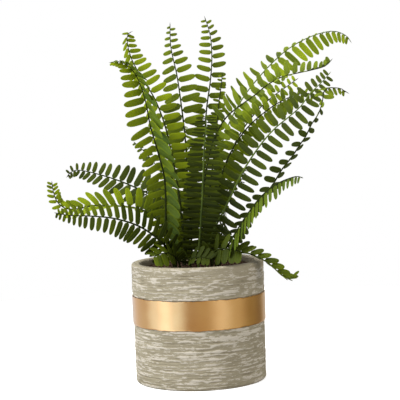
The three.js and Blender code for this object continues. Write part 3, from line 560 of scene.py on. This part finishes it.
def comb_pattern(turn, z):
    """The combed wall's relief and its whitened streaks, at turn (0 to 1) and height z."""
    h = z / POT_HEIGHT
    long_lines, lines, dashes, shreds, patches = (ring_noise(turn, h, *layer) for layer in COMB)
    relief = 0.35 * long_lines + 0.45 * lines + 0.3 * dashes + 0.2 * shreds
    streak = 0.37 + 0.36 * dashes + 0.42 * lines + 0.26 * shreds + 0.14 * patches
    return relief, streak


def quarter(steps, first=0):
    """Angles of a rounding, up to a quarter turn."""
    return [radians(k * 90 / steps) for k in range(first, steps + 1)]


def pot_profile():
    """Radius, height and how much of the comb's relief each row takes, anticlockwise from the underside."""
    wall_top = POT_HEIGHT - RIM_ROUND
    rows = [(radius, 0, 0) for radius in (0, *FLAT_RINGS, POT_RADIUS_FOOT - FOOT_ROUND)]
    for k, a in enumerate(quarter(FOOT_STEPS, 1), 1):
        rows.append((POT_RADIUS_FOOT - FOOT_ROUND * (1 - sin(a)),
                     FOOT_ROUND * (1 - cos(a)), k / FOOT_STEPS))
    z = FOOT_ROUND + WALL_ROW
    while z < BAND_FOOT - WALL_ROW / 2:
        rows.append((pot_radius(z), z, 1))
        z += WALL_ROW
    rows.append((pot_radius(BAND_FOOT), BAND_FOOT, 1))
    for z in np.linspace(BAND_FOOT, BAND_HEAD, 5):
        rows.append((pot_radius(z) - BAND_SEAT_DEPTH, z, 0))
    z = BAND_HEAD
    while z < wall_top:
        fade = smooth(wall_top - RIM_FADE[0], wall_top - RIM_FADE[1], z)
        rows.append((pot_radius(z), z, 1 - fade * RIM_LOSS))
        z += WALL_ROW
    for a in quarter(RIM_STEPS):
        rows.append((POT_RADIUS_TOP - RIM_ROUND * (1 - cos(a)),
                     wall_top + RIM_ROUND * sin(a), RIM_RELIEF))
    rows.append(((POT_RADIUS_TOP + POT_INNER_RADIUS) / 2, POT_HEIGHT, RIM_RELIEF))
    for a in quarter(RIM_STEPS):
        rows.append((POT_INNER_RADIUS + RIM_ROUND * (1 - sin(a)),
                     wall_top + RIM_ROUND * cos(a), RIM_RELIEF))
    rows.extend((POT_INNER_RADIUS, z, 0) for z in INSIDE_ROWS)
    rows.extend((radius, POT_FLOOR, 0) for radius in (*reversed(FLAT_RINGS), 0))
    return rows


def make_pot(material):
    profile = np.array(pot_profile())
    radius, height, share = profile[1:-1, 0], profile[1:-1, 1], profile[1:-1, 2]
    t, z = np.meshgrid(np.arange(WALL_COLUMNS) / WALL_COLUMNS, height)
    relief, streak = comb_pattern(t, z)
    lumps = ring_noise(t, z / POT_HEIGHT, 24, 14, seed=17)
    part = share[:, None]
    r = radius[:, None] + part * relief * RELIEF_DEPTH + LUMP_DEPTH * lumps * (part > 0)
    vertices = np.vstack([on_ring(r, z, t).reshape(-1, 3), [[0, 0, 0], [0, 0, POT_FLOOR]]])
    rows = len(radius)
    faces = closed_grid(rows, WALL_COLUMNS, False)
    cap_ends(faces, rows, WALL_COLUMNS, rows * WALL_COLUMNS, rows * WALL_COLUMNS + 1)
    pot = mesh_piece("cement_pot", vertices, faces, [material], 55)
    wall = part > 0.1
    seen = np.append(np.where(wall, relief, PLAIN_RELIEF), [PLAIN_RELIEF] * 2)
    add_values(pot, "relief", seen * 0.5 + 0.5)
    whitening = np.where(height > POT_HEIGHT - RIM_ROUND / 2, RIM_WHITENING,
                         1 - FADED_WHITENING + FADED_WHITENING * share)[:, None]
    add_values(pot, "streak", np.append(np.where(wall, streak * whitening, 0), [0, 0]))
    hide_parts("pot")


BAND_COLUMNS = 400
BAND_ROWS = 30
BAND_INSET = 0.35           # from the band's gap to the middle of a ragged edge
BAND_DIP = 0.15             # leaves room for the brushing under the solid's face
BEVEL = 0.5                 # how far the face falls at each edge
BEVEL_SHARE = 0.03          # over this share of its height


def ragged(turn, seed):
    """How far an edge of the band strays from straight."""
    wide, tight = (ring_noise(turn, turn * 0, columns, 2, seed + k) for k, columns in enumerate((60, 150)))
    return 0.35 * wide + 0.25 * tight


def make_band(material):
    """The gold band: its face is faintly brushed and its two edges are not quite straight."""
    turn = np.arange(BAND_COLUMNS) / BAND_COLUMNS
    t, s = np.meshgrid(turn, np.linspace(0, 1, BAND_ROWS))
    foot = BAND_FOOT + BAND_GAP + BAND_INSET + ragged(turn, 21)
    head = BAND_HEAD - BAND_GAP - BAND_INSET + ragged(turn, 31)
    z = foot + (head - foot) * s
    fall = BEVEL * (smooth(0, BEVEL_SHARE, s) * smooth(0, BEVEL_SHARE, 1 - s)) - BEVEL
    brushed = 0.03 * ring_noise(t, s, 20, 46, seed=41) + 0.07 * ring_noise(t, s, 26, 4, seed=43)
    outer = pot_radius(z) + BAND_PROUD - BAND_DIP + fall + brushed
    inner = pot_radius(z) - BAND_SEAT_DEPTH + BAND_GAP
    back = [on_ring(inner[k], z[k], turn) for k in (-1, 0)]
    vertices = np.vstack([on_ring(outer, z, t).reshape(-1, 3), *back])
    faces = closed_grid(BAND_ROWS + 2, BAND_COLUMNS, True)
    band = mesh_piece("gold_leaf_band", vertices, faces, [material], 40)
    edge = np.abs(s - 0.5) * 2
    add_values(band, "edge", np.append(smooth(0.86, 1.0, edge), np.ones(2 * BAND_COLUMNS)))
    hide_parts("gold_band")


SOIL_COLUMNS, SOIL_RINGS = 120, 26
CRUMBS = 420
CRUMB_SIZES = (0.5, 1.5)
CRUMB_SIDES = 6


def soil_height(x, y):
    reach = hypot(x, y) / (POT_INNER_RADIUS - SOIL_GAP)
    return SOIL_TOP + SOIL_CROWN * (1 - reach)


def make_soil(material):
    """A closed plug of soil with a lumpy top, and loose crumbs lying on it."""
    edge = POT_INNER_RADIUS - SOIL_GAP
    t, s = np.meshgrid(np.arange(SOIL_COLUMNS) / SOIL_COLUMNS, np.linspace(1, 0.03, SOIL_RINGS))
    lumps = 0.9 * ring_noise(t, s, 24, 9, seed=51) + 0.6 * ring_noise(t, s, 60, 22, seed=53)
    z = SOIL_TOP + SOIL_CROWN * (1 - s) + (lumps - 0.6) * smooth(1.0, 0.93, s)
    top = on_ring(edge * s, z, t).reshape(-1, 3)
    foot = top[:SOIL_COLUMNS].copy()
    foot[:, 2] = POT_FLOOR + SOIL_GAP
    vertices = [*(foot * [0.5, 0.5, 1]), *foot, *top]
    faces = closed_grid(SOIL_RINGS + 2, SOIL_COLUMNS, False)
    cap_ends(faces, SOIL_RINGS + 2, SOIL_COLUMNS, len(vertices), len(vertices) + 1)
    vertices += [[0, 0, POT_FLOOR + SOIL_GAP], [0, 0, SOIL_TOP + SOIL_CROWN - 0.5]]
    rng = np.random.RandomState(61)
    for _ in range(CRUMBS):
        far, angle = edge * 0.97 * sqrt(rng.uniform()), rng.uniform(0, 2 * pi)
        size = rng.uniform(*CRUMB_SIZES)
        centre = np.array([far * sin(angle), -far * cos(angle), 0])
        centre[2] = soil_height(centre[0], centre[1]) - 0.2 + size * 0.2
        if far + size < edge:
            add_crumb(vertices, faces, centre, size, rng)
    soil = mesh_piece("potting_soil_top", vertices, faces, [material], 45)
    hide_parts("soil")


def add_crumb(vertices, faces, centre, size, rng):
    """An irregular lump: a point above, two rings and a point below."""
    start = len(vertices)
    squash = rng.uniform(0.6, 1.0, 3) * [1.25, 1.25, 0.8]
    vertices.append(centre + [0, 0, size * squash[2]])
    for level in (0.45, -0.45):
        for k in range(CRUMB_SIDES):
            a = 2 * pi * (k + rng.uniform(-0.2, 0.2)) / CRUMB_SIDES
            wide = sqrt(1 - level * level) * rng.uniform(0.8, 1.15)
            vertices.append(centre + size * squash * [wide * cos(a), wide * sin(a), level])
    vertices.append(centre - [0, 0, size * squash[2]])
    upper, lower, foot = start + 1, start + 1 + CRUMB_SIDES, start + 1 + 2 * CRUMB_SIDES
    for k in range(CRUMB_SIDES):
        n = (k + 1) % CRUMB_SIDES
        faces.append((start, upper + k, upper + n))
        faces.append((upper + k, lower + k, lower + n, upper + n))
        faces.append((foot, lower + n, lower + k))


# ---- fronds
class Rib:
    """A centripetal Catmull-Rom curve through a frond's route, read by its share of length."""

    STEPS = 40              # between two points of the route
    REACH = 0.003           # share of the length, to either side, that gives the direction

    def __init__(self, points):
        p = [np.array(q, float) for q in points]
        p = [2 * p[0] - p[1], *p, 2 * p[-1] - p[-2]]
        places = [p[1]]
        for a, b, c, d in zip(p, p[1:], p[2:], p[3:]):
            places.extend(self.segment(a, b, c, d))
        self.places = np.array(places)
        steps = np.linalg.norm(np.diff(self.places, axis=0), axis=1)
        self.marks = np.concatenate([[0], np.cumsum(steps)])
        self.length = self.marks[-1]

    def segment(self, a, b, c, d):
        ta, tb, tc = (sqrt(np.linalg.norm(q - p)) for p, q in ((a, b), (b, c), (c, d)))
        start = ((b - a) / ta - (c - a) / (ta + tb) + (c - b) / tb) * tb
        end = ((c - b) / tb - (d - b) / (tb + tc) + (d - c) / tc) * tb
        out = []
        for k in range(1, self.STEPS + 1):
            u = k / self.STEPS
            out.append((2 * u**3 - 3 * u**2 + 1) * b + (u**3 - 2 * u**2 + u) * start
                       + (3 * u**2 - 2 * u**3) * c + (u**3 - u**2) * end)
        return out

    def at(self, share):
        s = share * self.length
        return np.array([np.interp(s, self.marks, self.places[:, k]) for k in range(3)])

    def along(self, share):
        return unit(self.at(min(1, share + self.REACH)) - self.at(max(0, share - self.REACH)))


class Station:
    """A place on the rib: its centre, direction, the blade's normal and the way to the right."""

    def __init__(self, frond, rib, share, first):
        self.t = min(1, max(0, (share - first) / (1 - first)))
        self.centre = rib.at(share)
        self.along = rib.along(share)
        face = keyed(frond["face"], self.t)
        self.normal = unit(face - face.dot(self.along) * self.along)
        self.right = unit(np.cross(self.along, self.normal))
        self.width = lerp(STEM_WIDTH, TIP_WIDTH, share ** STEM_TAPER)
        self.depth = lerp(STEM_DEPTH, TIP_DEPTH, share ** STEM_TAPER)


LEAST_HALF_WIDTH = 0.6      # a leaflet's, before its length counts
SLENDERNESS = 0.14          # half width that each millimetre of length adds
CROWDING = 0.48             # half width at most, as a share of the leaflet's place on the rib
LEAFLET_ROLL = 0.16         # radians
ROLL_RISE = 5               # the roll is whole at one in so many of the length
LEANS = (-0.08, 0.2)        # towards the frond's tip, at a leaflet's root and end, in radians
LEAN_POWER = 1.4
HANGS = (0.3, 2.0)          # shares of `hang` at its root and end
FULL_HALF_WIDTH = 2.4       # from which its section has its whole height
FLATTENING = 1.4            # the section flattens where it is narrower than one in this
THIN = 0.6                  # share of the thickness left at its end
# Half width of a leaflet along its length: a short stalk, a broad blade and a blunt round tip.
OUTLINE = ((0.0, 0.26), (0.05, 0.3), (0.095, 0.72), (0.17, 0.95), (0.32, 1.0), (0.52, 1.0),
           (0.7, 0.94), (0.84, 0.78), (0.93, 0.55), (0.98, 0.29))
# Across the blade, from edge to edge: place, height over the leaflet's plane, thickness.
SECTION = ((-1.0, -0.26, 0.0), (-0.55, 0.1, 0.34), (0.0, -0.16, 0.6), (0.55, 0.1, 0.34), (1.0, -0.26, 0.0))
UP = np.array([0.0, 0.0, 1.0])


def leaflet_half_width(length, pitch, sweep):
    """Half of a leaflet's width: slender when short, and no wider than its place on the rib allows."""
    room = CROWDING * pitch * cos(radians(sweep))
    return min(LEAST_HALF_WIDTH + SLENDERNESS * length, room)


def leaflet_mesh(ways, station, side, length, pitch, turn, uneven):
    """Vertices of one leaflet with the place of each on the blade. Its base lies inside the rib."""
    more_sweep, more_fold, curl, twist = uneven
    swept = keyed(ways["sweeps"], station.t) + more_sweep
    half = leaflet_half_width(length, pitch, swept) * keyed(ways.get("broad", 1), station.t)
    fold = radians(keyed(ways["lifts"], station.t) + turn + more_fold)
    sweep = radians(swept)
    outward = station.right * side
    lift = outward * cos(fold) + station.normal * sin(fold)
    place = station.centre.copy()
    vertices, facts = [], []
    previous = 0.0
    for along, width in OUTLINE + ((1.0, 0.0),):
        bend = lerp(*LEANS, along ** LEAN_POWER) + sweep
        droop = ways["hang"] * lerp(*HANGS, along) + curl * along
        way = unit(lift * cos(bend) + station.along * sin(bend) - UP * droop)
        place = place + way * length * (along - previous)
        previous = along
        across = unit(station.along - station.along.dot(way) * way)
        up = unit(np.cross(way, across) * side)
        spin = twist * along + ways.get("roll", LEAFLET_ROLL) * min(1, along * ROLL_RISE)
        across, up = (across * cos(spin) + up * sin(spin),
                      up * cos(spin) - across * sin(spin))
        if width == 0:
            vertices.append(place - up * 0.2)
            facts.append((0.0, 1.0))
            continue
        scale, flat = min(1, half / FULL_HALF_WIDTH), min(1, width * FLATTENING)
        for where, height, _ in SECTION:
            vertices.append(place + across * where * width * half + up * height * scale * flat)
            facts.append((where, along))
        for where, height, thick in SECTION[1:-1]:
            drop = height * scale * flat - thick * (THIN + (1 - THIN) * width)
            vertices.append(place + across * where * width * half + up * drop)
            facts.append((where, along))
    return vertices, facts


def leaflet_faces(side):
    """Faces of a leaflet and which are on its underside. Each ring has 5 upper and 3 lower points."""
    faces, under = [], []
    size = 2 * len(SECTION) - 2
    low = (0, 5, 6, 7, 4)
    tip = len(OUTLINE) * size
    for a in range(0, tip, size):
        b = a + size
        for k in range(len(SECTION) - 1):
            if b == tip:
                faces.append((a + k, tip, a + k + 1))
                faces.append((a + low[k], a + low[k + 1], tip))
            else:
                faces.append((a + k, b + k, b + k + 1, a + k + 1))
                faces.append((a + low[k], a + low[k + 1], b + low[k + 1], b + low[k]))
            under.extend((False, True))
    faces.append((0, 1, 2, 3, 4, 7, 6, 5))
    under.append(True)
    if side < 0:
        faces = [tuple(reversed(face)) for face in faces]
    return faces, under


LEAFLET_FACES = {side: leaflet_faces(side) for side in (-1, 1)}
RIB_SIDES = 8


def rib_mesh(stations, tip):
    """A round stem that thins to its tip, closed at both ends."""
    vertices = []
    for s in stations:
        for k in range(RIB_SIDES):
            a = 2 * pi * k / RIB_SIDES
            aside, off = s.right * cos(a) * s.width / 2, s.normal * sin(a) * s.depth / 2
            vertices.append(s.centre + aside + off)
    faces = [tuple(reversed(f)) for f in closed_grid(len(stations), RIB_SIDES, False)]
    vertices.append(tip)
    last = (len(stations) - 1) * RIB_SIDES
    for k in range(RIB_SIDES):
        faces.append((last + (k + 1) % RIB_SIDES, last + k, len(vertices) - 1))
    faces.append(tuple(range(RIB_SIDES)))
    return vertices, faces


RIM_CLEARANCE = 0.8         # how far leaflets keep off the pot
NEIGHBOURS = 2              # leaflets this near on the same rib may touch, as in the solids


class Obstacles:
    """What is already in place, so that a leaflet can be turned clear of it."""

    def __init__(self):
        self.low, self.high, self.trees, self.owners = [], [], [], []

    def add(self, vertices, faces, owner, at):
        points = np.asarray(vertices)
        self.low.append(points.min(axis=0))
        self.high.append(points.max(axis=0))
        self.trees.append(BVHTree.FromPolygons([Vector(p) for p in points], faces))
        self.owners.append((owner, at))

    def blocked(self, vertices, faces, owner, at):
        points = np.asarray(vertices)
        inside = (np.hypot(points[:, 0], points[:, 1]) < POT_RADIUS_TOP + RIM_CLEARANCE) & (
            points[:, 2] < POT_HEIGHT + RIM_CLEARANCE)
        if inside.any():
            return True
        low, high = points.min(axis=0), points.max(axis=0)
        near = np.all((np.array(self.low) < high) & (np.array(self.high) > low), axis=1)
        tree = None
        for k in np.flatnonzero(near):
            other, place = self.owners[k]
            if other == owner and (place is None or abs(place - at) <= NEIGHBOURS):
                continue
            tree = tree or BVHTree.FromPolygons([Vector(p) for p in points], faces)
            if tree.overlap(self.trees[k]):
                return True
        return False


# What a leaflet tries in turn to keep clear of the rest: a share of its length, and degrees of turn.
TURNS = ((1, 0), (1, 9), (1, -9), (1, 18), (1, -18), (0.9, 28), (0.9, -28), (0.75, 0), (0.75, 14),
         (0.75, -14), (0.75, 40), (0.75, -40), (0.6, 0), (0.6, 25), (0.6, -25), (0.6, 55), (0.6, -55),
         (0.45, 0))
LEAFLET_DENSITY = 1.44      # pairs of leaflets here for one pair of the solids
LAST_LEAFLET = 0.985        # how far along the rib the leaflets go
SPACING_EVEN = 0.6          # share of the leaflets, from the first, that stand evenly spaced
SPACING_FALL = 0.71         # how much closer they stand towards the tip
TIP_LIGHTENING = 0.4        # how much lighter the last leaflet is than the first: partly the paler green of young tips, partly painted light
SHAPE_SEED, TONE_SEED = 100, 500
TONES = (0.1, 0.9)
PALENESS = (0.5, 1.15)      # shares of its row's `pale`, the painted sheen, that a leaflet can have
UNEVENNESS = (2.5, 5, 0.1, 0.16)  # a leaflet's own sweep and lift in degrees, curl and twist
LENGTH_SPREAD = 0.05
ROOT_IN_RIB = 0.6           # length of a leaflet that the rib hides
BURIED_RINGS, RIB_RINGS = 12, 64  # up to the first leaflet, and from there
LAST_RING = 0.99
RIB_PARTS = 25              # straight parts of a rib that leaflets keep clear of
SHADE = 0.52                # strength of the painted shade where it is deepest
SHADE_HEIGHTS = (330.0, 140.0)  # where it begins, and where it is whole
SHADE_RADII = (110.0, 30.0)


def plan_rib(frond):
    x, y = frond["foot"]
    ground = soil_height(x, y)
    rib = Rib([(x, y, ground - STEM_SINK), (x, y, ground), *frond["route"]])
    first = lerp(STEM_SINK / rib.length, 1, frond["bare"])
    spans = round(frond["pairs"] * LEAFLET_DENSITY) * 2
    even = np.arange(spans + 1) / spans
    closer = SPACING_FALL * np.maximum(0, even - SPACING_EVEN) ** 2
    return rib, first, lerp(first, LAST_LEAFLET, (even - closer) / (1 - closer[-1]))


def shade_at(points):
    """Painted shade in the crowded heart of the plant: most just over the soil, near its middle."""
    low = smooth(*SHADE_HEIGHTS, points[:, 2])
    return SHADE * low * smooth(*SHADE_RADII, np.hypot(points[:, 0], points[:, 1]))


def make_frond(frond, index, obstacles, materials):
    """A rib with its leaflets, right and left in turn, each with its own length, turn and tone."""
    rib, first, marks = frond["plan"]
    rng = np.random.RandomState(SHAPE_SEED + index)
    tone_rng = np.random.RandomState(TONE_SEED + index)
    rings = [*np.linspace(0, first, BURIED_RINGS, endpoint=False), *np.linspace(first, LAST_RING, RIB_RINGS)]
    vertices, faces = rib_mesh([Station(frond, rib, share, first) for share in rings], rib.at(1))
    # the frond's painted light and shade: lighter or darker by how the light falls on it
    own = frond.get("tone", 0.0)
    slots = [2] * len(faces)
    facts = [(0.5 + own, 0.0, 0.0, 0.0)] * len(vertices)
    for i, (a, b) in enumerate(zip(marks, marks[1:])):
        side = (1, -1)[i % 2]
        station = Station(frond, rib, (a + b) / 2, first)
        ways = frond.get("both") or frond["left" if side < 0 else "right"]
        uneven = rng.uniform(-1, 1, 4) * UNEVENNESS * ways.get("wild", 1)
        full = keyed(frond["leaf"], station.t) * (1 + LENGTH_SPREAD * rng.uniform(-1, 1)) + ROOT_IN_RIB
        pitch = 2 * (b - a) * rib.length
        tone = tone_rng.uniform(*TONES) + TIP_LIGHTENING * (station.t - 0.5) + own
        # `pale` is the painted sheen on the upper face
        pale = ways.get("pale", 0.0) * tone_rng.uniform(*PALENESS)
        faces_here, under = LEAFLET_FACES[side]
        for share, turn in TURNS:
            points, places = leaflet_mesh(ways, station, side, full * share, pitch, turn, uneven)
            if not obstacles.blocked(points, faces_here, frond["name"], i):
                break
        else:
            continue
        obstacles.add(points, faces_here, frond["name"], i)
        base = len(vertices)
        vertices.extend(points)
        faces.extend(tuple(base + k for k in face) for face in faces_here)
        slots.extend(1 if low else 0 for low in under)
        facts.extend((tone, pale, *place) for place in places)
    piece = mesh_piece(frond["name"].replace("frond", "fern"), vertices, faces, materials, 60, slots)
    add_values(piece, "shade", shade_at(np.array(vertices)))
    for name, values in zip(("tone", "pale", "across", "along"), zip(*facts)):
        add_values(piece, name, values)
    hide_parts(frond["name"])


def make_fronds():
    """Every rib is an obstacle before the first leaflet is placed, so that none is pierced."""
    obstacles = Obstacles()
    blades = {g: [blade_material(g, "top"), blade_material(g, "under")] for g in GREENS}
    ribs = {kind: rib_material(kind) for kind in RIBS}
    part = 1 / RIB_PARTS
    for frond in FRONDS:
        frond.setdefault("green", "mid")
        frond["plan"] = plan_rib(frond)
        rib, first, _ = frond["plan"]
        for a, b in zip(np.linspace(0, 1 - part, RIB_PARTS), np.linspace(part, 1, RIB_PARTS)):
            ends = [Station(frond, rib, share, first) for share in (a, b)]
            obstacles.add(*rib_mesh(ends, ends[1].centre), frond["name"], None)
    for i, frond in enumerate(FRONDS):
        make_frond(frond, i, obstacles, [*blades[frond["green"]], ribs[frond.get("rib", "deep")]])


# ---- camera, light and floor
CAMERA_AT = (0, -1439.8, 298.6)
CAMERA_PITCH = 3.786        # degrees below the horizon
CAMERA_YAW = 0.221          # degrees to the right
CAMERA_ROLL = -2.08         # degrees
PICTURE_PIXELS = 400
FOCAL_PIXELS = 1274.56      # for a picture of that width
SENSOR = 36.0


def make_camera():
    pitch, yaw, roll = (radians(v) for v in (CAMERA_PITCH, CAMERA_YAW, CAMERA_ROLL))
    ahead = Vector((sin(yaw) * cos(pitch), cos(yaw) * cos(pitch), -sin(pitch)))
    right = ahead.cross(Vector((0, 0, 1))).normalized()
    up = right.cross(ahead)
    tilted_right = right * cos(roll) + up * sin(roll)
    tilted_up = up * cos(roll) - right * sin(roll)
    camera = add_object("camera", bpy.data.cameras.new("camera"))
    camera.data.sensor_width = SENSOR
    camera.data.lens = FOCAL_PIXELS / PICTURE_PIXELS * SENSOR
    turn = Matrix((tilted_right, tilted_up, -ahead)).transposed()
    camera.matrix_world = Matrix.Translation(Vector(CAMERA_AT) * MM) @ turn.to_4x4()
    bpy.context.scene.camera = camera


# Brightness of the studio by direction, in degrees from the front and positive to the right: STUDIO as it
# lights matt faces, and CARDS, by red, green and blue, as shiny faces reflect it.
STUDIO = ((-180, 0.95), (-125, 0.6), (-90, 0.8), (-62, 2.4), (-35, 1.0), (-5, 0.42), (35, 0.75),
          (70, 0.65), (110, 0.5), (150, 0.65), (180, 0.95))
CARDS = ((-180, 0.6), (-152, 0.72, 0.75, 0.8), (-107, 0.6, 0.63, 0.66), (-82, 0.95, 1.22, 1.7),
         (-60, 1.4, 1.7, 2.4), (-41, 0.9, 1.15, 1.55), (-15, 0.42, 0.38, 0.33), (11, 0.47, 0.44, 0.36),
         (38, 0.76, 0.82, 0.88), (66, 0.52, 0.52, 0.44), (101, 0.28, 0.25, 0.15), (127, 0.22, 0.19, 0.12),
         (152, 0.48, 0.46, 0.4), (180, 0.6))
STUDIO_STRENGTH = 1.1
STUDIO_PEAK = 2.5           # over the largest of these
HORIZON = (0.35, 1.0, -0.35, 0.3)  # share of the light under it and over it, from and to which height
# Each lamp's place and target in metres, its size, power and colour.
LAMPS = dict(
    key=((-1.3, -0.9, 1.5), (0, 0, 0.2), 0.9, 30, (1, 0.985, 0.96)),
    top=((-0.2, 0.3, 1.8), (0, 0, 0.2), 1.4, 16, (1, 1, 1)),
    fill=((1.5, -0.9, 0.5), (0, 0, 0.15), 1.0, 7, (1, 0.9, 0.74)),
)
FLOOR_RADIUS = 0.75
FLOOR_SIDES = 96


def make_world():
    n = Nodes("studio", world=True)
    x, y, z = n.add("SeparateXYZ", {0: n.add("TexCoord").outputs["Generated"]}).outputs
    share = n.span(n.math("ARCTAN2", x, n.math("MULTIPLY", y, -1.0)), 0, 1, -pi, pi)
    full = STUDIO_PEAK * STUDIO_STRENGTH

    def light(stops, strength):
        colours = []
        for degrees, *values in stops:
            shares = [value / STUDIO_PEAK for value in values * (3 // len(values))]
            colours.append(((degrees + 180) / 360, (*shares, 1)))
        return n.add("Background", {0: n.ramp(share, colours, "EASE"), 1: strength}).outputs[0]

    matt = light(STUDIO, n.math("MULTIPLY", n.span(z, *HORIZON), full))
    lit = n.blend(n.ray("Glossy"), matt, light(CARDS, full))
    white = n.add("Background", {0: WHITE}).outputs[0]
    bpy.context.scene.world = n.finish(n.blend(n.ray("Camera"), lit, white))


def add_lamp(name, at, target, size, power, colour):
    lamp = add_object(name, bpy.data.lights.new(name, "AREA"))
    lamp.data.shape = "RECTANGLE"
    lamp.data.size = lamp.data.size_y = size
    lamp.data.energy = power
    lamp.data.color = colour
    lamp.location = at
    lamp.visible_glossy = False
    lamp.rotation_mode = "QUATERNION"
    lamp.rotation_quaternion = (Vector(target) - Vector(at)).to_track_quat("-Z", "Y")


def make_studio(floor_paint):
    make_world()
    for name, settings in LAMPS.items():
        add_lamp(name, *settings)
    mesh = bpy.data.meshes.new("floor")
    turns = [2 * pi * k / FLOOR_SIDES for k in range(FLOOR_SIDES)]
    rim = [(FLOOR_RADIUS * cos(a), FLOOR_RADIUS * sin(a), 0) for a in turns]
    mesh.from_pydata(rim, [], [range(FLOOR_SIDES)])
    mesh.materials.append(floor_paint)
    floor = add_object("floor", mesh)
    floor.visible_glossy = False
    view = bpy.context.scene.view_settings
    view.view_transform = "Standard"
    view.look = "None"
    view.exposure = 0
    view.gamma = 1


make_camera()
make_pot(cement_material())
make_band(gold_material())
make_soil(soil_material())
make_fronds()
make_studio(floor_material())
